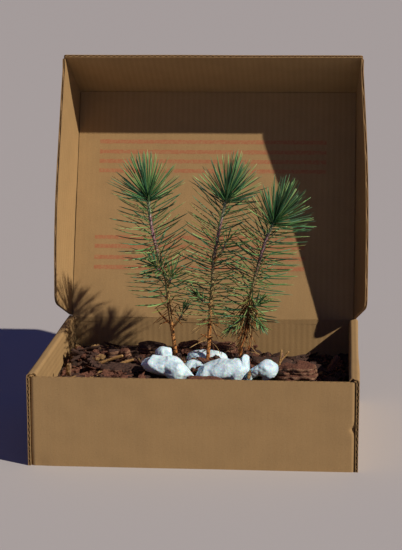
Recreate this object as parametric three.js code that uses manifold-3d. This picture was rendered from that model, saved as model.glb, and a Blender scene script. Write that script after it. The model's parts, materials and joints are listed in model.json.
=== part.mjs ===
// A clump of three young pines that rise close together out of one bed of bark mulch,
// in an open mailer box of corrugated board that serves as their pot.
// Millimetres, +Z up, +X to the right, +Y to the back; the origin is the middle of the box's underside.

import * as THREE from 'three';
import { mergeVertices } from 'three/addons/utils/BufferGeometryUtils.js';
import Module from 'manifold-3d';

const wasm = await Module();
wasm.setup();

// Box
const boxWidth = 330;
const boxDepth = 266;
const rimHeight = 95;
const board = 3; // thickness of the corrugated board
const gap = 0.3; // clearance between pieces that touch on the real box and plant
const facetSag = 0.05; // more round a rod, whose flat sides lie inside its circle
const bendRadius = 2.5; // outside of a fold in the board
const earLength = 72; // the end flaps of the front and back walls, inside the rolled side walls
const slot = board + 2 * gap; // room for an ear inside a rolled side wall
const rim = 2 * board + slot; // a side wall rolled over its ear
const wallTop = rimHeight - board - gap; // front and back walls end just under the rolled rim

// Lid
const lidLength = 268;
const lidLean = THREE.MathUtils.degToRad(21.2); // back from upright
const frontFlapDepth = 93.5;
const frontFlapFlare = 3.5; // how much further its free edge reaches at each end than its fold
const frontFlapCorner = 4;
const frontFlapFold = THREE.MathUtils.degToRad(81.4); // from flat, so opened a little past square
const sideFlapFoot = 41; // depth at its lower corner
const sideFlapHead = 92; // depth at its upper corner
const sideFlapFold = THREE.MathUtils.degToRad(82);
const sideFlapSetback = 7; // its lower edge runs up this far towards the free corner
const sideFlapRise = 13; // its upper edge runs up this far, to just under the front flap
const sideFlapCorner = 9;
const crease = board / 2; // radius of the round fold line that a flap turns on
const hingeHeight = wallTop + gap + crease;
const hingeBack = boxDepth / 2 - crease;

// Mulch
const mulchFloor = board + gap;
const mulchEdge = 57; // height near the walls
const moundRise = 17; // how much higher it stands round the stems
const heapRise = 13; // a loose heap near the left wall
const stemFoot = 70; // height of the flat cut under each stem
const footPocket = 6; // radius of the level place that a stem stands on

// Plant
const stemSides = 8;
const stemRings = 14;
const stemTipRadius = 1.5;
const stemTaper = 1.0; // how much wider the stem is above its flare than at its tip
const flareRise = 1.3; // how much wider still it is at its foot
const flareLength = 3;
const boughRadius = 1.35;
const boughTaper = 0.35;
const boughSides = 6;
const boughRings = 3;
const sleeveWall = 1.0; // the slim core that a mass of needles grows from
const shootRunOn = 7; // how far that core runs on past the tip of a side shoot
const clearance = gap + 0.1; // between what grows or lies loose
const sleeveMargin = 1.6; // bare ends of a core round a stem
const shootMargin = 0.8; // bare ends of a core at a side shoot's tip
const needleRadius = 0.95;
const needleSides = 3;
const rootDepth = 0.7; // how far a needle's foot sits inside its core
const needleFloor = 93; // the masses keep above this, clear of the stones
const spiralStep = 135; // degrees from each needle to the next round the stem
const leanSpread = 9; // degrees
const turnSpread = 29; // degrees
const lengthSpread = [0.88, 1.08]; // of the mass's own needle length
const liftSpread = [0.6, 1.4]; // of the mass's own bend

const right = new THREE.Vector3(1, 0, 0);
const back = new THREE.Vector3(0, 1, 0);
const up = new THREE.Vector3(0, 0, 1);

function material(color, roughness) {
  return new THREE.MeshStandardMaterial({ color, roughness, metalness: 0 });
}

const kraft = material('#a07a50', 0.9);
const kraftInside = material('#b08a5c', 0.9);
const mulchBrown = material('#4b352a', 0.95);
const barkBrown = material('#6b4634', 0.9);
const straw = material('#a98756', 0.85);
const marble = material('#dfe3e6', 0.8);
const stemBark = material('#9a6a40', 0.8);
const shootBark = material('#7d7a48', 0.8);
const needleGreen = material('#3f7d4d', 0.6);
const needleYoung = material('#5f9a55', 0.6);
const needleDry = material('#94693f', 0.8);

const group = new THREE.Group();

// A seeded stream of numbers from 0 to 1.
function seeded(seed) {
  let state = seed;
  return () => {
    state = (state + 0x6d2b79f5) | 0;
    let mixed = Math.imul(state ^ (state >>> 15), 1 | state);
    mixed = (mixed + Math.imul(mixed ^ (mixed >>> 7), 61 | mixed)) ^ mixed;
    return ((mixed ^ (mixed >>> 14)) >>> 0) / 2 ** 32;
  };
}

const lerp = THREE.MathUtils.lerp;
const degrees = THREE.MathUtils.degToRad;
const clampShare = (value) => THREE.MathUtils.clamp(value, 0, 1);

function toSolid(geometry) {
  const bare = geometry.clone();
  bare.deleteAttribute('normal');
  bare.deleteAttribute('uv');
  const merged = mergeVertices(bare, 1e-4);
  return new wasm.Manifold(new wasm.Mesh({
    numProp: 3,
    vertProperties: new Float32Array(merged.attributes.position.array),
    triVerts: new Uint32Array(merged.index.array),
  }));
}

function toGeometry(solid) {
  const { vertProperties, triVerts, numProp } = solid.getMesh();
  const place = new Float32Array((vertProperties.length / numProp) * 3);
  for (let i = 0; i < place.length / 3; i += 1) {
    place.set(vertProperties.subarray(i * numProp, i * numProp + 3), i * 3);
  }
  const geometry = new THREE.BufferGeometry();
  geometry.setAttribute('position', new THREE.BufferAttribute(place, 3));
  geometry.setIndex(new THREE.BufferAttribute(new Uint32Array(triVerts), 1));
  return geometry;
}

const fuse = (solids) => solids.reduce((whole, part) => whole.add(part));
const cutBy = (solid, tools) => tools.reduce((rest, tool) => rest.subtract(tool), solid);

// The largest closed surface of a solid: it fills any hollow that fusing sealed and drops loose scraps.
function onePiece(solid) {
  return solid.decompose().reduce((best, part) => (part.volume() > best.volume() ? part : best));
}

function addMesh(parent, name, shape, finish) {
  const geometry = shape.isBufferGeometry ? shape : toGeometry(shape);
  const mesh = new THREE.Mesh(geometry, finish);
  mesh.name = name;
  parent.add(mesh);
  return mesh;
}

// A block between two corners.
function block(low, high) {
  const size = high.map((value, i) => value - low[i]);
  const middle = high.map((value, i) => (value + low[i]) / 2);
  return new THREE.BoxGeometry(...size).translate(...middle);
}

// Tray: one blank folded up, with the front and back walls' ears inside the rolled side walls.

function buildTray() {
  const inside = boxWidth / 2 - board - gap;
  const front = boxDepth / 2;
  addMesh(group, 'tray_floor',
    block([-inside, -front + board + gap, 0], [inside, front - board - gap, board]), kraft);
  for (const [name, side] of [['front', -1], ['back', 1]]) {
    addMesh(group, `tray_${name}_wall`, endWall(inside, side * front, side), kraft);
    for (const [hand, sign] of [['left', -1], ['right', 1]]) {
      addMesh(group, `tray_ear_${name}_${hand}`, ear(sign * inside, side), kraftInside);
    }
  }
  addMesh(group, 'tray_side_left', sideWall(-1), kraft);
  addMesh(group, 'tray_side_right', sideWall(1), kraft);
}

// A wall whose plan has its two outer corners rounded where the board folds into the ears.
function endWall(inside, outer, side) {
  const quarter = side * Math.PI / 2;
  const bendX = inside - bendRadius;
  const bendY = outer - side * bendRadius;
  const plan = new THREE.Shape();
  plan.moveTo(-inside, outer - side * board);
  plan.lineTo(inside, outer - side * board);
  plan.lineTo(inside, bendY);
  plan.absarc(bendX, bendY, bendRadius, 0, quarter, side < 0);
  plan.lineTo(-bendX, outer);
  plan.absarc(-bendX, bendY, bendRadius, quarter, Math.PI, side < 0);
  return new THREE.ExtrudeGeometry(plan, { depth: wallTop, bevelEnabled: false, curveSegments: 3 });
}

function ear(outer, side) {
  const inner = outer - Math.sign(outer) * board;
  const near = side * (boxDepth / 2 - board - gap);
  const far = near - side * earLength;
  return block([Math.min(outer, inner), Math.min(near, far), board + gap],
    [Math.max(outer, inner), Math.max(near, far), wallTop]);
}

// An upside-down U in section, open below, carried along the depth of the box.
function sideWall(sign) {
  const outer = boxWidth / 2;
  const section = new THREE.Shape();
  section.moveTo(sign * outer, 0);
  section.lineTo(sign * outer, rimHeight - bendRadius);
  section.absarc(sign * (outer - bendRadius), rimHeight - bendRadius, bendRadius,
    sign > 0 ? 0 : Math.PI, Math.PI / 2, sign < 0);
  section.lineTo(sign * (outer - rim + bendRadius), rimHeight);
  section.absarc(sign * (outer - rim + bendRadius), rimHeight - bendRadius, bendRadius,
    Math.PI / 2, sign > 0 ? Math.PI : 0, sign < 0);
  section.lineTo(sign * (outer - rim), board + gap);
  section.lineTo(sign * (outer - rim + board), board + gap);
  section.lineTo(sign * (outer - rim + board), rimHeight - board);
  section.lineTo(sign * (outer - board), rimHeight - board);
  section.lineTo(sign * (outer - board), 0);
  const rolled = new THREE.ExtrudeGeometry(section, {
    depth: boxDepth, bevelEnabled: false, curveSegments: 3,
  });
  rolled.rotateX(Math.PI / 2).translate(0, boxDepth / 2, 0);
  // The inner leg stops short of the front and back walls, and the rim short of the lid's fold.
  const past = 1; // how far a cutter runs on past the board
  const legX = [sign * (outer - board), sign * (outer - rim - past)].sort((a, b) => a - b);
  const endY = boxDepth / 2 - board - gap;
  const cutter = (y0, y1, top) => toSolid(block([legX[0], y0, -past], [legX[1], y1, top]));
  return toSolid(rolled)
    .subtract(cutter(-boxDepth / 2 - past, -endY, rimHeight - board))
    .subtract(cutter(endY, boxDepth / 2 + past, rimHeight + past));
}

// Lid: a panel and three flaps, each a flat sheet with a round fold line at its hinge.

// Outline of a sheet: x runs out from the hinge, y along it. Its free edge stands out by depth at one
// end and farDepth at the other, and both free corners are rounded off over the length corner.
function sheetOutline({ depth, farDepth = depth, from, to, setback = 0, rise = 0, corner }) {
  const places = [[0, from], [depth, from + setback], [farDepth, to + rise], [0, to]]
    .map(([x, y]) => new THREE.Vector2(x, y));
  const beside = (i, j) => places[i].clone().add(places[j].clone().sub(places[i]).setLength(corner));
  const outline = new THREE.Shape([places[0]]);
  for (const i of [1, 2]) {
    outline.lineTo(...beside(i, i - 1));
    outline.quadraticCurveTo(...places[i], ...beside(i, i + 1));
  }
  outline.lineTo(...places[3]);
  return outline;
}

// outward is the way the sheet runs from its hinge and along is the hinge's own direction.
function foldedSheet(sizes, outward, along) {
  const sheet = new THREE.ExtrudeGeometry(sheetOutline(sizes), {
    depth: board, bevelEnabled: false, curveSegments: 4,
  });
  sheet.translate(0, 0, -board / 2);
  const hinge = new THREE.CylinderGeometry(crease, crease, sizes.to - sizes.from, 12);
  hinge.translate(0, (sizes.to + sizes.from) / 2, 0);
  const placing = new THREE.Matrix4().makeBasis(outward, along, outward.clone().cross(along));
  return toGeometry(toSolid(sheet).add(toSolid(hinge))).applyMatrix4(placing);
}

function buildLid() {
  const lid = new THREE.Group();
  lid.position.set(0, hingeBack, hingeHeight);
  lid.rotation.x = -lidLean;
  group.add(lid);

  const foldX = boxWidth / 2 - crease - board / 2; // where the side flaps fold
  const panelHalf = foldX - crease - gap;
  const foldZ = lidLength - crease; // where the front flap folds
  addMesh(lid, 'lid_panel', foldedSheet({
    depth: foldZ - crease - gap, from: -panelHalf, to: panelHalf, corner: 0.5,
  }, up, right), kraftInside);

  const frontFlap = addMesh(lid, 'lid_front_flap', foldedSheet({
    depth: frontFlapDepth,
    from: -foldX,
    to: foldX,
    setback: -frontFlapFlare,
    rise: frontFlapFlare,
    corner: frontFlapCorner,
  }, up, right), kraft);
  frontFlap.position.z = foldZ;
  frontFlap.rotation.x = frontFlapFold;

  for (const [name, sign] of [['left', -1], ['right', 1]]) {
    const flap = addMesh(lid, `lid_side_flap_${name}`, foldedSheet({
      depth: sideFlapFoot,
      farDepth: sideFlapHead,
      from: crease + 2 * gap,
      to: foldZ - crease - 2 * gap,
      setback: sideFlapSetback,
      rise: sideFlapRise,
      corner: sideFlapCorner,
    }, right.clone().multiplyScalar(sign), up), kraft);
    flap.position.x = sign * foldX;
    flap.rotation.z = -sign * sideFlapFold;
  }
}

// Limbs: rods that are bent along a path and taper by a rule.

function smoothThrough(places) {
  return new THREE.CatmullRomCurve3(places.map((place) => new THREE.Vector3(...place)));
}

// A stretch of a curve by arc length, from one share of it to another; past its tip it runs on straight.
function stretchOf(curve, from, to) {
  const length = curve.getLength();
  return {
    getPoint(share) {
      const along = lerp(from, to, share);
      const held = clampShare(along);
      return curve.getPointAt(held).addScaledVector(curve.getTangentAt(held), (along - held) * length);
    },
    getTangent(share) {
      return curve.getTangentAt(clampShare(lerp(from, to, share)));
    },
  };
}

// Two directions square to a path at one place: across, which keeps near to side, and over.
function frameAt(path, share, side) {
  const ahead = path.getTangent(share);
  const across = side.clone().addScaledVector(ahead, -side.dot(ahead)).normalize();
  return { foot: path.getPoint(share), ahead, across, over: across.clone().cross(ahead) };
}

// The rings of a cylinder or a cone, carried along a path; radiusAt runs from foot, 0, to tip, 1.
function rodAlong(path, radiusAt, { side, sides, rings, pointed = false }) {
  const geometry = new THREE.CylinderGeometry(pointed ? 0 : 1, 1, 1, sides, rings);
  const place = geometry.attributes.position;
  for (let i = 0; i < place.count; i += 1) {
    const share = place.getY(i) + 0.5;
    const { foot, across, over } = frameAt(path, share, side);
    const spoke = new THREE.Vector2(place.getX(i), place.getZ(i)).setLength(radiusAt(share));
    foot.addScaledVector(across, spoke.x).addScaledVector(over, spoke.y);
    place.setXYZ(i, foot.x, foot.y, foot.z);
  }
  return toSolid(geometry);
}

// A limb keeps its path and radius, so that what grows from it can be placed and cut clear of it.
function makeLimb(name, curve, radiusAt, sides, rings) {
  const form = { side: back, sides, rings };
  const spare = gap / curve.getLength();
  const clearRadius = (share) => radiusAt(share) + gap + facetSag;
  return {
    name,
    curve,
    radiusAt,
    form,
    solid: rodAlong(stretchOf(curve, 0, 1), radiusAt, form),
    clear: rodAlong(stretchOf(curve, -spare, 1 + spare), clearRadius, form),
  };
}

// A stem's radius by the share of its length: an even taper with a short flare at the foot.
function stemRadius(length) {
  const flare = (share) => flareRise * Math.exp((-share * length) / flareLength);
  return (share) => stemTipRadius + stemTaper * (1 - share) + flare(share);
}

const boughRadiusAt = (share) => boughRadius - boughTaper * share;

// Needles, as two straight lengths each, for finding what would touch.

// Least distance between two straight lengths, less the radius of each at its nearest place.
function clearanceBetween(a, b) {
  const alongA = a.tip.clone().sub(a.foot);
  const alongB = b.tip.clone().sub(b.foot);
  const offset = a.foot.clone().sub(b.foot);
  const aa = alongA.dot(alongA);
  const bb = alongB.dot(alongB);
  const ab = alongA.dot(alongB);
  const ac = alongA.dot(offset);
  const bc = alongB.dot(offset);
  const spread = aa * bb - ab * ab;
  const parallel = 1e-9;
  let s = spread > parallel ? clampShare((ab * bc - ac * bb) / spread) : 0;
  const t = clampShare((ab * s + bc) / bb);
  s = clampShare((ab * t - ac) / aa);
  const apart = a.foot.clone().addScaledVector(alongA, s)
    .distanceTo(b.foot.clone().addScaledVector(alongB, t));
  return apart - lerp(a.thick, a.thin, s) - lerp(b.thick, b.thin, t);
}

function lengthsOf(path, radiusAt, count, extra = 0) {
  const lengths = [];
  for (let i = 0; i < count; i += 1) {
    lengths.push({
      foot: path.getPoint(i / count),
      tip: path.getPoint((i + 1) / count),
      thick: radiusAt(i / count) + extra,
      thin: radiusAt((i + 1) / count) + extra,
    });
  }
  return lengths;
}

const needleTaper = (share) => needleRadius * (1 - share ** 3);

// The direction that is turned by so many degrees from one direction towards another, square to it.
function between(start, end, turned) {
  const angle = degrees(turned);
  return start.clone().multiplyScalar(Math.cos(angle)).addScaledVector(end, Math.sin(angle));
}

// What has been placed so far, each entry with an owner, so that a new needle can keep clear.
const taken = [];
const isClear = (lengths, owners) => taken.every((other) => owners.includes(other.owner)
  || lengths.every((length) => clearanceBetween(length, other.length) > clearance));
function take(lengths, owner) {
  for (const length of lengths) {
    taken.push({ length, owner });
  }
}

// Needles set round a limb in a spiral, each rooted on the middle of a flat of its core. They lean from
// the limb by lean, foot to tip of the stretch, and bend towards its tip by lift. One that would touch
// another mass or a limb, or reach down to the stones, is skipped.
function growNeedles(limb, owner, options) {
  const { from, to, count, lean, lift, length, rings, seed, ownRoot, margin } = options;
  const random = seeded(seed);
  const spare = margin / limb.curve.getLength();
  const path = stretchOf(limb.curve, from + spare, Math.max(to - spare, from + 2 * spare));
  const needles = [];
  for (let i = 0; i < count; i += 1) {
    const share = (i + 0.5) / count;
    const { foot, ahead, across, over } = frameAt(path, share, back);
    const flat = 180 / limb.form.sides + i * spiralStep;
    const outward = between(across, over, flat + turnSpread * (random() - 0.5));
    const angle = lerp(lean[0], lean[1], share) + leanSpread * (random() - 0.5);
    const reach = length * lerp(...lengthSpread, random());
    const bend = lift * lerp(...liftSpread, random());
    foot.addScaledVector(between(across, over, flat), ownRoot(lerp(from, to, share)));
    const middle = foot.clone().addScaledVector(between(ahead, outward, angle), reach / 2);
    const tip = middle.clone().addScaledVector(between(ahead, outward, angle - bend), reach / 2);
    const curve = new THREE.QuadraticBezierCurve3(foot, middle, tip);
    const lengths = lengthsOf(curve, needleTaper, rings);
    if (tip.z > needleFloor && isClear(lengths, [owner, limb.name])) {
      take(lengths, owner);
      const form = { side: ahead.clone().cross(outward), sides: needleSides, rings, pointed: true };
      needles.push(rodAlong(curve, needleTaper, form));
    }
  }
  return needles;
}

// A mass round a limb: a thin sleeve, cut clear of the limb and its boughs, with its needles fused on.
function massRound(limb, boughs, name, finish, options) {
  const sleeveRadius = (share) => limb.radiusAt(share) + gap + sleeveWall;
  const path = stretchOf(limb.curve, options.from, options.to);
  const sleeve = rodAlong(path, (share) => sleeveRadius(lerp(options.from, options.to, share)),
    { ...limb.form, rings: Math.max(2, Math.round((options.to - options.from) * stemRings)) });
  const ownRoot = (share) => sleeveRadius(share) - rootDepth;
  const needles = growNeedles(limb, name, { ...options, ownRoot });
  const clear = [limb.clear, ...boughs.map((bough) => bough.clear)];
  addMesh(group, name, onePiece(cutBy(fuse([sleeve, ...needles]), clear)), finish);
}

// A mass at the tip of a bough: a slim stem that runs on from it, with its needles fused on.
function massBeyond(bough, name, finish, options) {
  const start = 1 + clearance / bough.curve.getLength();
  const end = 1 + shootRunOn / bough.curve.getLength();
  const radius = bough.radiusAt(1);
  const narrowing = 0.4;
  const core = rodAlong(stretchOf(bough.curve, start, end), (share) => radius * (1 - narrowing * share),
    { ...bough.form, rings: 1 });
  const ownRoot = () => radius - rootDepth;
  const needles = growNeedles(bough, name, { ...options, from: start, to: end, ownRoot });
  addMesh(group, name, onePiece(fuse([core, ...needles])), finish);
}

// Plant

// path: the stem's line from its foot to its tip, by a few places.
// shoots: side shoots, by the share of the stem where each starts, and the way and length it runs.
const seedlings = {
  left: {
    seed: 11,
    path: [[-31.7, 37.6, stemFoot], [-37.9, 30.7, 123.3], [-41.3, 26, 160],
      [-48.6, 22.6, 186.5], [-55.2, 18.6, 216.8], [-58.5, 14, 252.1]],
    tuft: 46,
    shoots: [
      { start: 0.44, run: [5, -9, 13], needles: 8, length: 22 },
      { start: 0.19, run: [13, -3, 19], needles: 8, length: 18 },
    ],
  },
  middle: {
    seed: 23,
    path: [[3.9, 20.7, stemFoot], [6, 22.4, 111.3], [8.5, 24.3, 156.7],
      [10.4, 25.4, 182.4], [16.2, 26.7, 215.1], [23.3, 28, 245.9]],
    tuft: 50,
    shoots: [
      { start: 0.62, run: [14, -6, 22], needles: 8, length: 18 },
      { start: 0.36, run: [-12, -5, 8], needles: 8, length: 17 },
    ],
  },
  right: {
    seed: 37,
    path: [[36.1, 44, stemFoot], [42.6, 38.1, 107.6], [50.5, 31.5, 147.4],
      [57, 27.1, 173.8], [66, 21.8, 205.2], [75.8, 18, 227.9]],
    tuft: 46,
    shoots: [
      { start: 0.31, run: [-14, -6, -11], needles: 8, length: 17 },
      { start: 0.37, run: [11, -5, -14], needles: 8, length: 17 },
    ],
  },
};

// Masses round each stem, from the top down: the share of the stem each takes, how far its needles lean
// from the stem at its foot and top, how much they bend up, and the lengths that each needle is made in.
const masses = [
  { name: 'crown', from: 0.905, to: 1.012, count: 34, lean: [64, 8], lift: 6, rings: 1 },
  { name: 'upper', from: 0.655, to: 0.9, count: 22, lean: [80, 64], lift: 13, length: 42, rings: 2 },
  { name: 'middle', from: 0.415, to: 0.65, count: 20, lean: [86, 78], lift: 12, length: 41, rings: 2 },
  { name: 'lower', from: 0.235, to: 0.41, count: 12, lean: [92, 84], lift: 8, length: 37, rings: 1 },
  { name: 'dry', from: 0.1, to: 0.23, count: 8, lean: [112, 100], lift: -12, length: 24, rings: 1 },
];
const finishes = {
  crown: needleGreen, upper: needleGreen, middle: needleYoung, lower: needleYoung, dry: needleDry,
};
const shootNeedles = { lean: [66, 14], lift: 8, rings: 1, margin: shootMargin };

function growStems() {
  for (const [name, plant] of Object.entries(seedlings)) {
    const curve = smoothThrough(plant.path);
    plant.stem = makeLimb(`stem_${name}`, curve, stemRadius(curve.getLength()), stemSides, stemRings);
    const sleeved = gap + sleeveWall;
    take(lengthsOf(stretchOf(curve, 0, 1), plant.stem.radiusAt, stemRings, sleeved), plant.stem.name);
    // The foot is cut flat at its own height.
    const under = toSolid(block([-boxWidth, -boxDepth, 0], [boxWidth, boxDepth, stemFoot]));
    plant.stem.solid = plant.stem.solid.subtract(under);
    addMesh(group, plant.stem.name, plant.stem.solid, stemBark);
    plant.boughs = plant.shoots.map((shoot, i) => growBough(plant, name, shoot, i));
  }
}

function growBough(plant, name, { start, run }, i) {
  const foot = plant.stem.curve.getPointAt(start);
  const tip = foot.clone().add(new THREE.Vector3(...run));
  const bulge = 0.15; // a shoot sets out a little flatter than it ends
  const middle = foot.clone().lerp(tip, 0.5).add(new THREE.Vector3(run[0] * bulge, run[1] * bulge, -1));
  const curve = new THREE.QuadraticBezierCurve3(foot, middle, tip);
  const bough = makeLimb(`bough_${name}_${i + 1}`, curve, boughRadiusAt, boughSides, boughRings);
  take(lengthsOf(curve, bough.radiusAt, boughRings), bough.name);
  addMesh(group, bough.name, bough.solid.subtract(plant.stem.clear), shootBark);
  return bough;
}

function growMasses() {
  const [crown, ...rest] = masses;
  const plants = Object.entries(seedlings);
  for (const [name, plant] of plants) {
    growRound(name, plant, crown);
  }
  for (const [name, plant] of plants) {
    plant.boughs.forEach((bough, i) => {
      const { needles, length } = plant.shoots[i];
      massBeyond(bough, `needles_shoot_${name}_${i + 1}`, needleYoung,
        { ...shootNeedles, count: needles, length, seed: plant.seed + 5 * i });
    });
  }
  for (const mass of rest) {
    for (const [name, plant] of plants) {
      growRound(name, plant, mass);
    }
  }
}

function growRound(name, plant, mass) {
  const length = mass.length ?? plant.tuft;
  massRound(plant.stem, plant.boughs, `needles_${mass.name}_${name}`, finishes[mass.name],
    { ...mass, length, seed: plant.seed + mass.count, margin: sleeveMargin });
}

// Stones, bark and sticks on the mulch

// A lump: a ball drawn out to three radii, with its surface waved by a few seeded ripples.
const ripplePitches = [2.1, 3.3, 4.7, 6.1];
const rippleHeight = 0.17;

function lump({ at, radii, turn = 0, seed }, grow = 0) {
  const random = seeded(seed);
  const wholeTurn = 2 * Math.PI;
  const ripples = ripplePitches.map((pitch) => {
    const way = new THREE.Vector3();
    way.setFromSphericalCoords(pitch, Math.acos(2 * random() - 1), wholeTurn * random());
    return { way, phase: wholeTurn * random(), height: rippleHeight / Math.sqrt(pitch) };
  });
  const geometry = new THREE.IcosahedronGeometry(1, 1);
  const place = geometry.attributes.position;
  const spot = new THREE.Vector3();
  for (let i = 0; i < place.count; i += 1) {
    spot.fromBufferAttribute(place, i).normalize();
    const waves = ripples.map(({ way, phase, height }) => height * Math.sin(way.dot(spot) + phase));
    const swell = waves.reduce((sum, wave) => sum + wave, 1);
    spot.multiply(new THREE.Vector3(...radii).multiplyScalar(swell).addScalar(grow));
    place.setXYZ(i, spot.x, spot.y, spot.z);
  }
  return toSolid(geometry.rotateZ(degrees(turn)).translate(...at));
}

// Each white stone is one lump or two that have grown together.
const stones = [
  [
    { at: [-43, -22, 75.5], radii: [22, 16, 13], turn: -8, seed: 3 },
    { at: [-18, -27, 70], radii: [17, 14, 9.5], seed: 8 },
  ],
  [
    { at: [14, -28, 76], radii: [21, 14, 13], turn: 6, seed: 5 },
    { at: [41, -24, 79.5], radii: [13, 12, 13], seed: 21 },
  ],
  [{ at: [67, -31, 75.5], radii: [16.5, 12, 11.5], turn: 12, seed: 14 }],
  [{ at: [0, 35, 73.5], radii: [25, 11, 10.5], turn: -3, seed: 17 }],
  [{ at: [-44, 14, 79], radii: [10.5, 10, 10.5], seed: 29 }],
  [{ at: [-11, 2, 72.5], radii: [11.5, 9, 6.5], turn: 10, seed: 31 }],
];

// A chip is a flat prism on an uneven outline with six corners, laid at a slope.
const chipCorners = 6;
const cornerJitter = 0.6; // of the angle from corner to corner
const cornerReach = [0.8, 1.05]; // of the chip's half size

function chip({ at, size, turn, tilt, pitch = 0, seed }, grow = 0) {
  const random = seeded(seed);
  const corners = Array.from({ length: chipCorners }, (_, i) => {
    const angle = (2 * Math.PI * (i + cornerJitter * (random() - 0.5))) / chipCorners;
    const reach = lerp(...cornerReach, random()) / 2;
    const across = Math.cos(angle) * (reach * size[0] + grow);
    return new THREE.Vector2(across, Math.sin(angle) * (reach * size[1] + grow));
  });
  const depth = size[2] + 2 * grow;
  const slab = new THREE.ExtrudeGeometry(new THREE.Shape(corners), { depth, bevelEnabled: false });
  slab.translate(0, 0, -depth / 2);
  slab.rotateY(degrees(tilt)).rotateX(degrees(pitch)).rotateZ(degrees(turn));
  return toSolid(slab.translate(...at));
}

const chips = [
  { at: [-86, -6, 66.5], size: [46, 22, 9], turn: 3, tilt: 2, pitch: 4, seed: 41 },
  { at: [100, -19, 72], size: [44, 28, 12], turn: -8, tilt: -6, pitch: 8, seed: 42 },
  { at: [138, 30, 66], size: [26, 12, 5], turn: 10, tilt: -62, seed: 43 },
  { at: [7, -62, 70], size: [38, 22, 8], turn: 4, tilt: 3, pitch: -6, seed: 44 },
  { at: [-132, 42, 70], size: [34, 24, 8], turn: 32, tilt: -9, pitch: 6, seed: 45 },
  { at: [14, 82, 69], size: [34, 20, 9], turn: -18, tilt: 12, pitch: 8, seed: 46 },
];

// A stick is a thin rod between places; a forked one is two rods that share their foot.
const stickTaper = 0.35;

function stick(paths, radius, grow = 0) {
  const radiusAt = (share) => radius * (1 - stickTaper * share) + grow;
  return fuse(paths.map((places) => rodAlong(
    stretchOf(smoothThrough(places), 0, 1), radiusAt, { side: back, sides: 6, rings: 3 })));
}

const sticks = {
  stick_1: { paths: [[[-114, -6, 63], [-96, -1, 70], [-74, 3, 77]]], radius: 1.8 },
  stick_2: { paths: [[[-124, 14, 64], [-106, 12, 72], [-86, 9, 79.5]]], radius: 2 },
  forked_twig: {
    paths: [[[79, -8, 62], [82, -9, 78], [92, -8, 91]], [[79, -8, 62], [82, -9, 78], [84, -12, 94]]],
    radius: 1.5,
  },
};

// Height of the mulch: a low mound round the stems, a heap at the left and small lumps all over.
const hills = [
  { rise: moundRise, at: [0, 20], wide: [105, 90] },
  { rise: heapRise, at: [-122, 40], wide: [34, 40] },
];

function mulchHeight(x, y) {
  const rises = hills.map(({ rise, at, wide }) => (
    rise * Math.exp(-(((x - at[0]) / wide[0]) ** 2) - ((y - at[1]) / wide[1]) ** 2)));
  const lumps = 2.4 * Math.sin(x / 14 + 1.3) * Math.cos(y / 15) + 1.4 * Math.sin(x / 10 + y / 12);
  return rises.reduce((sum, rise) => sum + rise, mulchEdge + lumps);
}

function mulchBed(sunk) {
  const halfX = boxWidth / 2 - rim - gap;
  const halfY = boxDepth / 2 - board - gap;
  const cellsX = 17; // the bed's top is a grid
  const cellsY = 14;
  const bed = new THREE.BoxGeometry(2 * halfX, 2 * halfY, 1, cellsX, cellsY, 1);
  const place = bed.attributes.position;
  for (let i = 0; i < place.count; i += 1) {
    place.setZ(i, place.getZ(i) > 0 ? mulchHeight(place.getX(i), place.getY(i)) : -mulchFloor);
  }
  const under = toSolid(block([-boxWidth, -boxDepth, -boxWidth], [boxWidth, boxDepth, mulchFloor]));
  const pocketHeight = 20;
  const pockets = Object.values(seedlings).map(({ path: [[x, y]] }) => {
    const pocket = new THREE.CylinderGeometry(footPocket, footPocket, pocketHeight, 10);
    return toSolid(pocket.rotateX(Math.PI / 2).translate(x, y, stemFoot - gap + pocketHeight / 2));
  });
  return cutBy(toSolid(bed), [under, ...pockets, ...sunk]);
}

// Everything on the mulch is cut clear of the stems and of what was laid before it.
function layGround() {
  const standing = Object.values(seedlings).map(({ stem }) => stem.clear);
  const laid = [];
  const lay = (name, solid, grown, finish) => {
    addMesh(group, name, onePiece(cutBy(solid, [...standing, ...laid])), finish);
    laid.push(grown);
  };
  const stoneOf = (lumps, grow) => fuse(lumps.map((one) => lump(one, grow)));
  stones.forEach((lumps, i) => {
    lay(`stone_${i + 1}`, stoneOf(lumps, 0), stoneOf(lumps, clearance), marble);
  });
  for (const [name, { paths, radius }] of Object.entries(sticks)) {
    lay(name, stick(paths, radius), stick(paths, radius, clearance), straw);
  }
  chips.forEach((one, i) => lay(`bark_chip_${i + 1}`, chip(one), chip(one, clearance), barkBrown));
  addMesh(group, 'mulch_bed', onePiece(mulchBed(laid)), mulchBrown);
}

buildTray();
buildLid();
growStems();
growMasses();
layGround();

export default group;
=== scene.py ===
import json
import math

import bpy
import numpy as np
from mathutils import Matrix, Vector


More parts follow.
